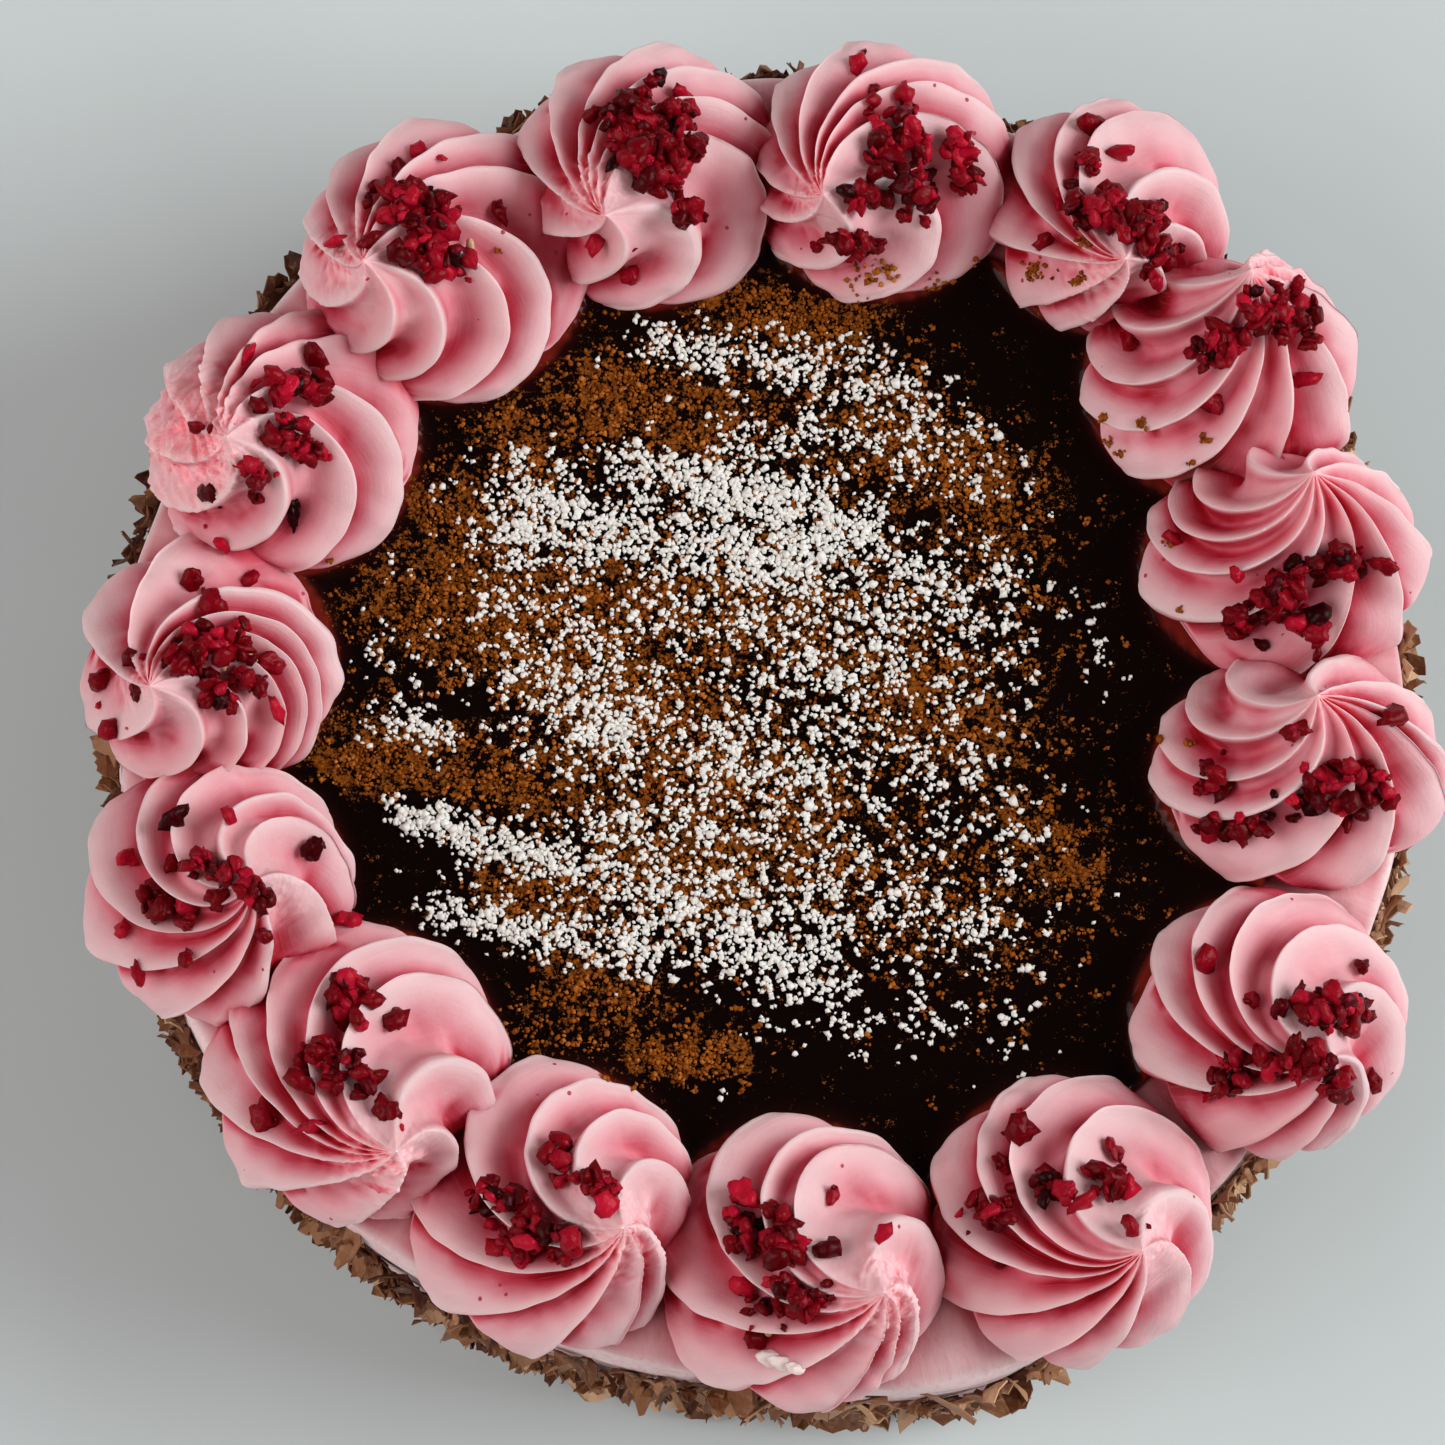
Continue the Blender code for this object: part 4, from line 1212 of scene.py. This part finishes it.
# %% Which crumbs are wanted
draw = np.random.default_rng(77)
wanted = []
for (x0, y0), (x1, y1), width, count in HEAPS:
    for _ in range(count):
        part = draw.uniform(0.0, 1.0)
        aside = draw.normal(0.0, 1.0, 2)
        aside *= width * math.sqrt(draw.uniform(0.0, 1.0)) / np.linalg.norm(aside)
        x = x0 + (x1 - x0) * part + aside[0]
        y = y0 + (y1 - y0) * part + aside[1]
        wanted.append((x, y, draw.uniform(0.8, 2.0)))
for x, y in SINGLES:
    wanted.append((x, y, draw.uniform(1.5, 2.4)))
    if draw.uniform() < 0.35:
        wanted.append((x + draw.normal(0, 12), y + draw.normal(0, 12), draw.uniform(0.4, 0.8)))

# %% Drop the crumbs
HIGHEST = 95.9
MOST_LIFT = 2.3
lying = []
for x, y, size in wanted:
    found = drop(x, y)
    if found is None:
        continue
    point = found[0] + found[1] * (0.35 * size)
    resting = point.z
    for other, other_size in lying:
        apart = math.hypot(point.x - other.x, point.y - other.y)
        touch = 0.72 * (size + other_size)
        if apart < touch and abs(other.z - point.z) < 3.2:
            on_other = other.z + 0.7 * math.sqrt(touch**2 - apart**2)
            point.z = max(point.z, min(on_other, resting + MOST_LIFT))
    point.z = min(point.z, HIGHEST - 1.55 * size)
    lying.append((point, size))
print("raspberry crumbs:", len(lying))

# %% The raspberry material and crumbs
BERRY_STEPS = ((0.0, (0.018, 0.0001, 0.0004)), (0.5, (0.17, 0.0004, 0.0040)), (1.0, (0.46, 0.005, 0.024)))
berry, tree, shader = new_material("dried_raspberry")
where = place_in(tree)
red = colour_steps(tree, layer_value(tree, "tone"), BERRY_STEPS)
dusty = noise(tree, where, 480.0, 3.0, 0.6)
red = mixed(tree, above(tree, dusty, 0.60, 2.2), red, (0.46, 0.035, 0.085))
dress(tree, shader, red, calculated(tree, "MULTIPLY_ADD", dusty, 0.5, 0.0), 0.09)
coarse = (noise(tree, where, 520.0, 2.0, 0.6), 0.5, 0.75)
bumps(tree, shader, coarse, (noise(tree, where, 1500.0, 3.0, 0.65), 0.16, 0.8))
places = np.array([point[:] for point, _ in lying])
sizes = np.array([size for _, size in lying])[:, None]
sizes = sizes * draw.uniform([0.85, 0.6, 0.4], [1.25, 1.0, 0.8], (len(lying), 3))
lumps = [lump(2 if k % 4 else 3, 0.46, 300 + 3 * k) for k in range(16)]
turned = random_turns(draw, len(lying))
tones = np.clip(draw.normal(0.5, 0.28, len(lying)), 0.0, 1.0)
copies("raspberry_crumbs", lumps, places, sizes, turned, berry, tones)

# %% Seeds
SEED_STEPS = ((0.3, (0.42, 0.20, 0.09)), (0.7, (0.66, 0.42, 0.24)))
SEED_SIZE = (1.5, 0.75, 0.6)
pip, tree, shader = new_material("raspberry_seed")
where = place_in(tree)
dress(tree, shader, colour_steps(tree, noise(tree, where, 900.0), SEED_STEPS), 0.5)
bumps(tree, shader, (noise(tree, where, 2200.0), 0.1, 0.5))
places = np.array([(point + normal * 1.9)[:] for point, normal in (drop(x, y) for x, y in SEEDS)])
pips = [lump(2, 0.08, 400), lump(2, 0.12, 403)]
sizes = np.tile(SEED_SIZE, (len(places), 1))
copies("raspberry_seeds", pips, places, sizes, random_turns(draw, len(places)), pip, np.zeros(len(places)))

# %% [markdown]
# ## A flick of pale cream
# On the swirl at the front lies a small flick of paler cream, dragged there by the palette knife.
# Three soft flat lumps in a row, all turned the same way, read as one smear.

# %% The flick on the ninth rosette
SCRAP_STEPS = ((0.35, (0.80, 0.62, 0.58)), (0.6, (0.86, 0.77, 0.72)))
SCRAPS = ((769, 1359, 1.9, 1.3), (783, 1364, 2.2, 1.1), (796, 1368, 1.5, 0.8))
SCRAP_TURN = ((0.95, 0.32, 0.0), (-0.32, 0.95, 0.0), (0.0, 0.0, 1.0))
pale, tree, shader = new_material("pale_cream")
where = place_in(tree)
dress(tree, shader, colour_steps(tree, noise(tree, where, 500.0), SCRAP_STEPS), 0.55)
bumps(tree, shader, (noise(tree, where, 900.0, 3.0), 0.2, 0.6))
places = np.array([(point + normal * 0.25)[:] for point, normal in (drop(x, y) for x, y, _, _ in SCRAPS)])
sizes = np.array([(long, wide, 0.8) for _, _, long, wide in SCRAPS])
flecks = [lump(3, 0.25, 450 + k) for k in range(3)]
copies("cream_scrap", flecks, places, sizes, np.array([SCRAP_TURN] * 3), pale, np.zeros(3))

# %% [markdown]
# ## Cocoa and sugar on the glaze
# The grains follow the same bands as the film of cocoa. They lean together in small clumps, which is
# what makes them read as powder and not as dots. A few specks of cocoa fell on the cream too, and
# they are dropped down the line of sight like the raspberry.

# %% Scatter along the bands
def banded_places(bands, count, clump, seed):
    """Places in the picture in clumps along the bands, and the generator that drew them."""
    draw = np.random.default_rng(seed)
    share = np.array([band[3] for band in bands], float)
    chosen = draw.choice(len(bands), count, p=share / share.sum())
    ends = np.array([[*band[0], *band[1], band[2]] for band in bands])[chosen]
    part = draw.uniform(0.0, 1.0, count)[:, None]
    middle = ends[:, :2] + (ends[:, 2:4] - ends[:, :2]) * part
    middle = middle + draw.normal(0.0, 0.9, (count, 2)) * ends[:, 4:5]
    again = np.repeat(middle, draw.integers(1, clump, count), axis=0)
    return again + draw.normal(0.0, 3.2, again.shape), draw


GRAINS_WITHIN = 78.0


def on_glaze(pixels):
    """Places on the glaze, in millimetres, leaving out those under or beyond the swirls."""
    points = np.array([on_plane(x, y, POOL_TOP)[:] for x, y in pixels])
    clear = clear_of_swirls(points[:, 0], points[:, 1]) > 0.8
    return points[clear & (np.hypot(points[:, 0], points[:, 1]) < GRAINS_WITHIN)]


def grain(seed):
    """A grain with eight faces, for the smallest things."""
    draw = np.random.default_rng(seed)
    points = np.vstack([np.eye(3), -np.eye(3)]) * draw.uniform(0.75, 1.25, (6, 1))
    points = points + draw.normal(0.0, 0.12, (6, 3))
    faces = [(0, 1, 2), (1, 3, 2), (3, 4, 2), (4, 0, 2), (1, 0, 5), (3, 1, 5), (4, 3, 5), (0, 4, 5)]
    return points, np.array(faces)

# %% Cocoa
COCOA_STEPS = ((0.0, (0.13, 0.028, 0.0013)), (0.6, (0.31, 0.079, 0.006)), (1.0, (0.48, 0.155, 0.026)))
CREAM_SPECKS = (
    (875, 275, 24, 26), (940, 285, 18, 16), (975, 262, 8, 5), (1035, 272, 14, 24), (1079, 281, 7, 10),
    (1085, 244, 6, 8), (1104, 419, 5, 7), (1140, 424, 5, 8), (1110, 442, 5, 5), (1122, 452, 5, 5),
    (1204, 440, 5, 6), (1191, 463, 3, 3), (1135, 483, 4, 4), (1168, 545, 4, 4), (1180, 610, 4, 4),
    (1160, 740, 5, 6), (1190, 745, 4, 5), (1200, 868, 5, 6), (606, 1078, 8, 8), (645, 1089, 8, 6),
    (500, 250, 4, 2), (330, 560, 4, 2),
)
cocoa, tree, shader = new_material("cocoa_powder")
dress(tree, shader, colour_steps(tree, layer_value(tree, "tone"), COCOA_STEPS), 0.95, 0.1)
bumps(tree, shader, (noise(tree, place_in(tree), 1500.0, 3.0), 0.12, 0.6))
pixels, draw = banded_places(COCOA_BANDS, 4000, 7, 501)
places = on_glaze(pixels)
size = draw.uniform(0.18, 0.50, len(places))
places[:, 2] += size * 0.35 + draw.uniform(0.0, 0.25, len(places))
for x, y, width, count in CREAM_SPECKS:
    for _ in range(3 * count // 2):
        found = drop(x + draw.normal(0.0, 0.6 * width), y + draw.normal(0.0, 0.4 * width))
        if found is not None:
            places = np.vstack([places, [(found[0] + found[1] * 0.2)[:]]])
            size = np.append(size, draw.uniform(0.22, 0.62))
grains = [grain(500 + k) for k in range(9)] + [lump(1, 0.3, 520)]
sizes = size[:, None] * draw.uniform(0.7, 1.3, (len(places), 3))
turned = random_turns(draw, len(places))
tones = np.clip(draw.normal(0.5, 0.25, len(places)), 0.0, 1.0)
copies("cocoa_grains", grains, places, sizes, turned, cocoa, tones)

# %% Sugar
SUGAR_STEPS = ((0.3, (0.70, 0.66, 0.60)), (0.6, (0.82, 0.80, 0.76)))
sugar, tree, shader = new_material("sugar_crumbs")
where = place_in(tree)
dress(tree, shader, colour_steps(tree, noise(tree, where, 700.0), SUGAR_STEPS), 0.7)
bumps(tree, shader, (noise(tree, where, 1600.0, 3.0), 0.12, 0.5))
pixels, draw = banded_places(SUGAR_BANDS, 5600, 4, 601)
places = on_glaze(pixels)
size = draw.uniform(0.24, 0.60, len(places)) * np.where(draw.uniform(size=len(places)) < 0.05, 1.5, 1.0)
places[:, 2] += size * 0.6 + 0.15
grains = [grain(600), lump(1, 0.22, 601), grain(602), lump(1, 0.22, 603), grain(604), grain(605)]
sizes = size[:, None] * draw.uniform(0.75, 1.25, (len(places), 3))
turned = random_turns(draw, len(places))
copies("sugar_grains", grains, places, sizes, turned, sugar, np.zeros(len(places)))
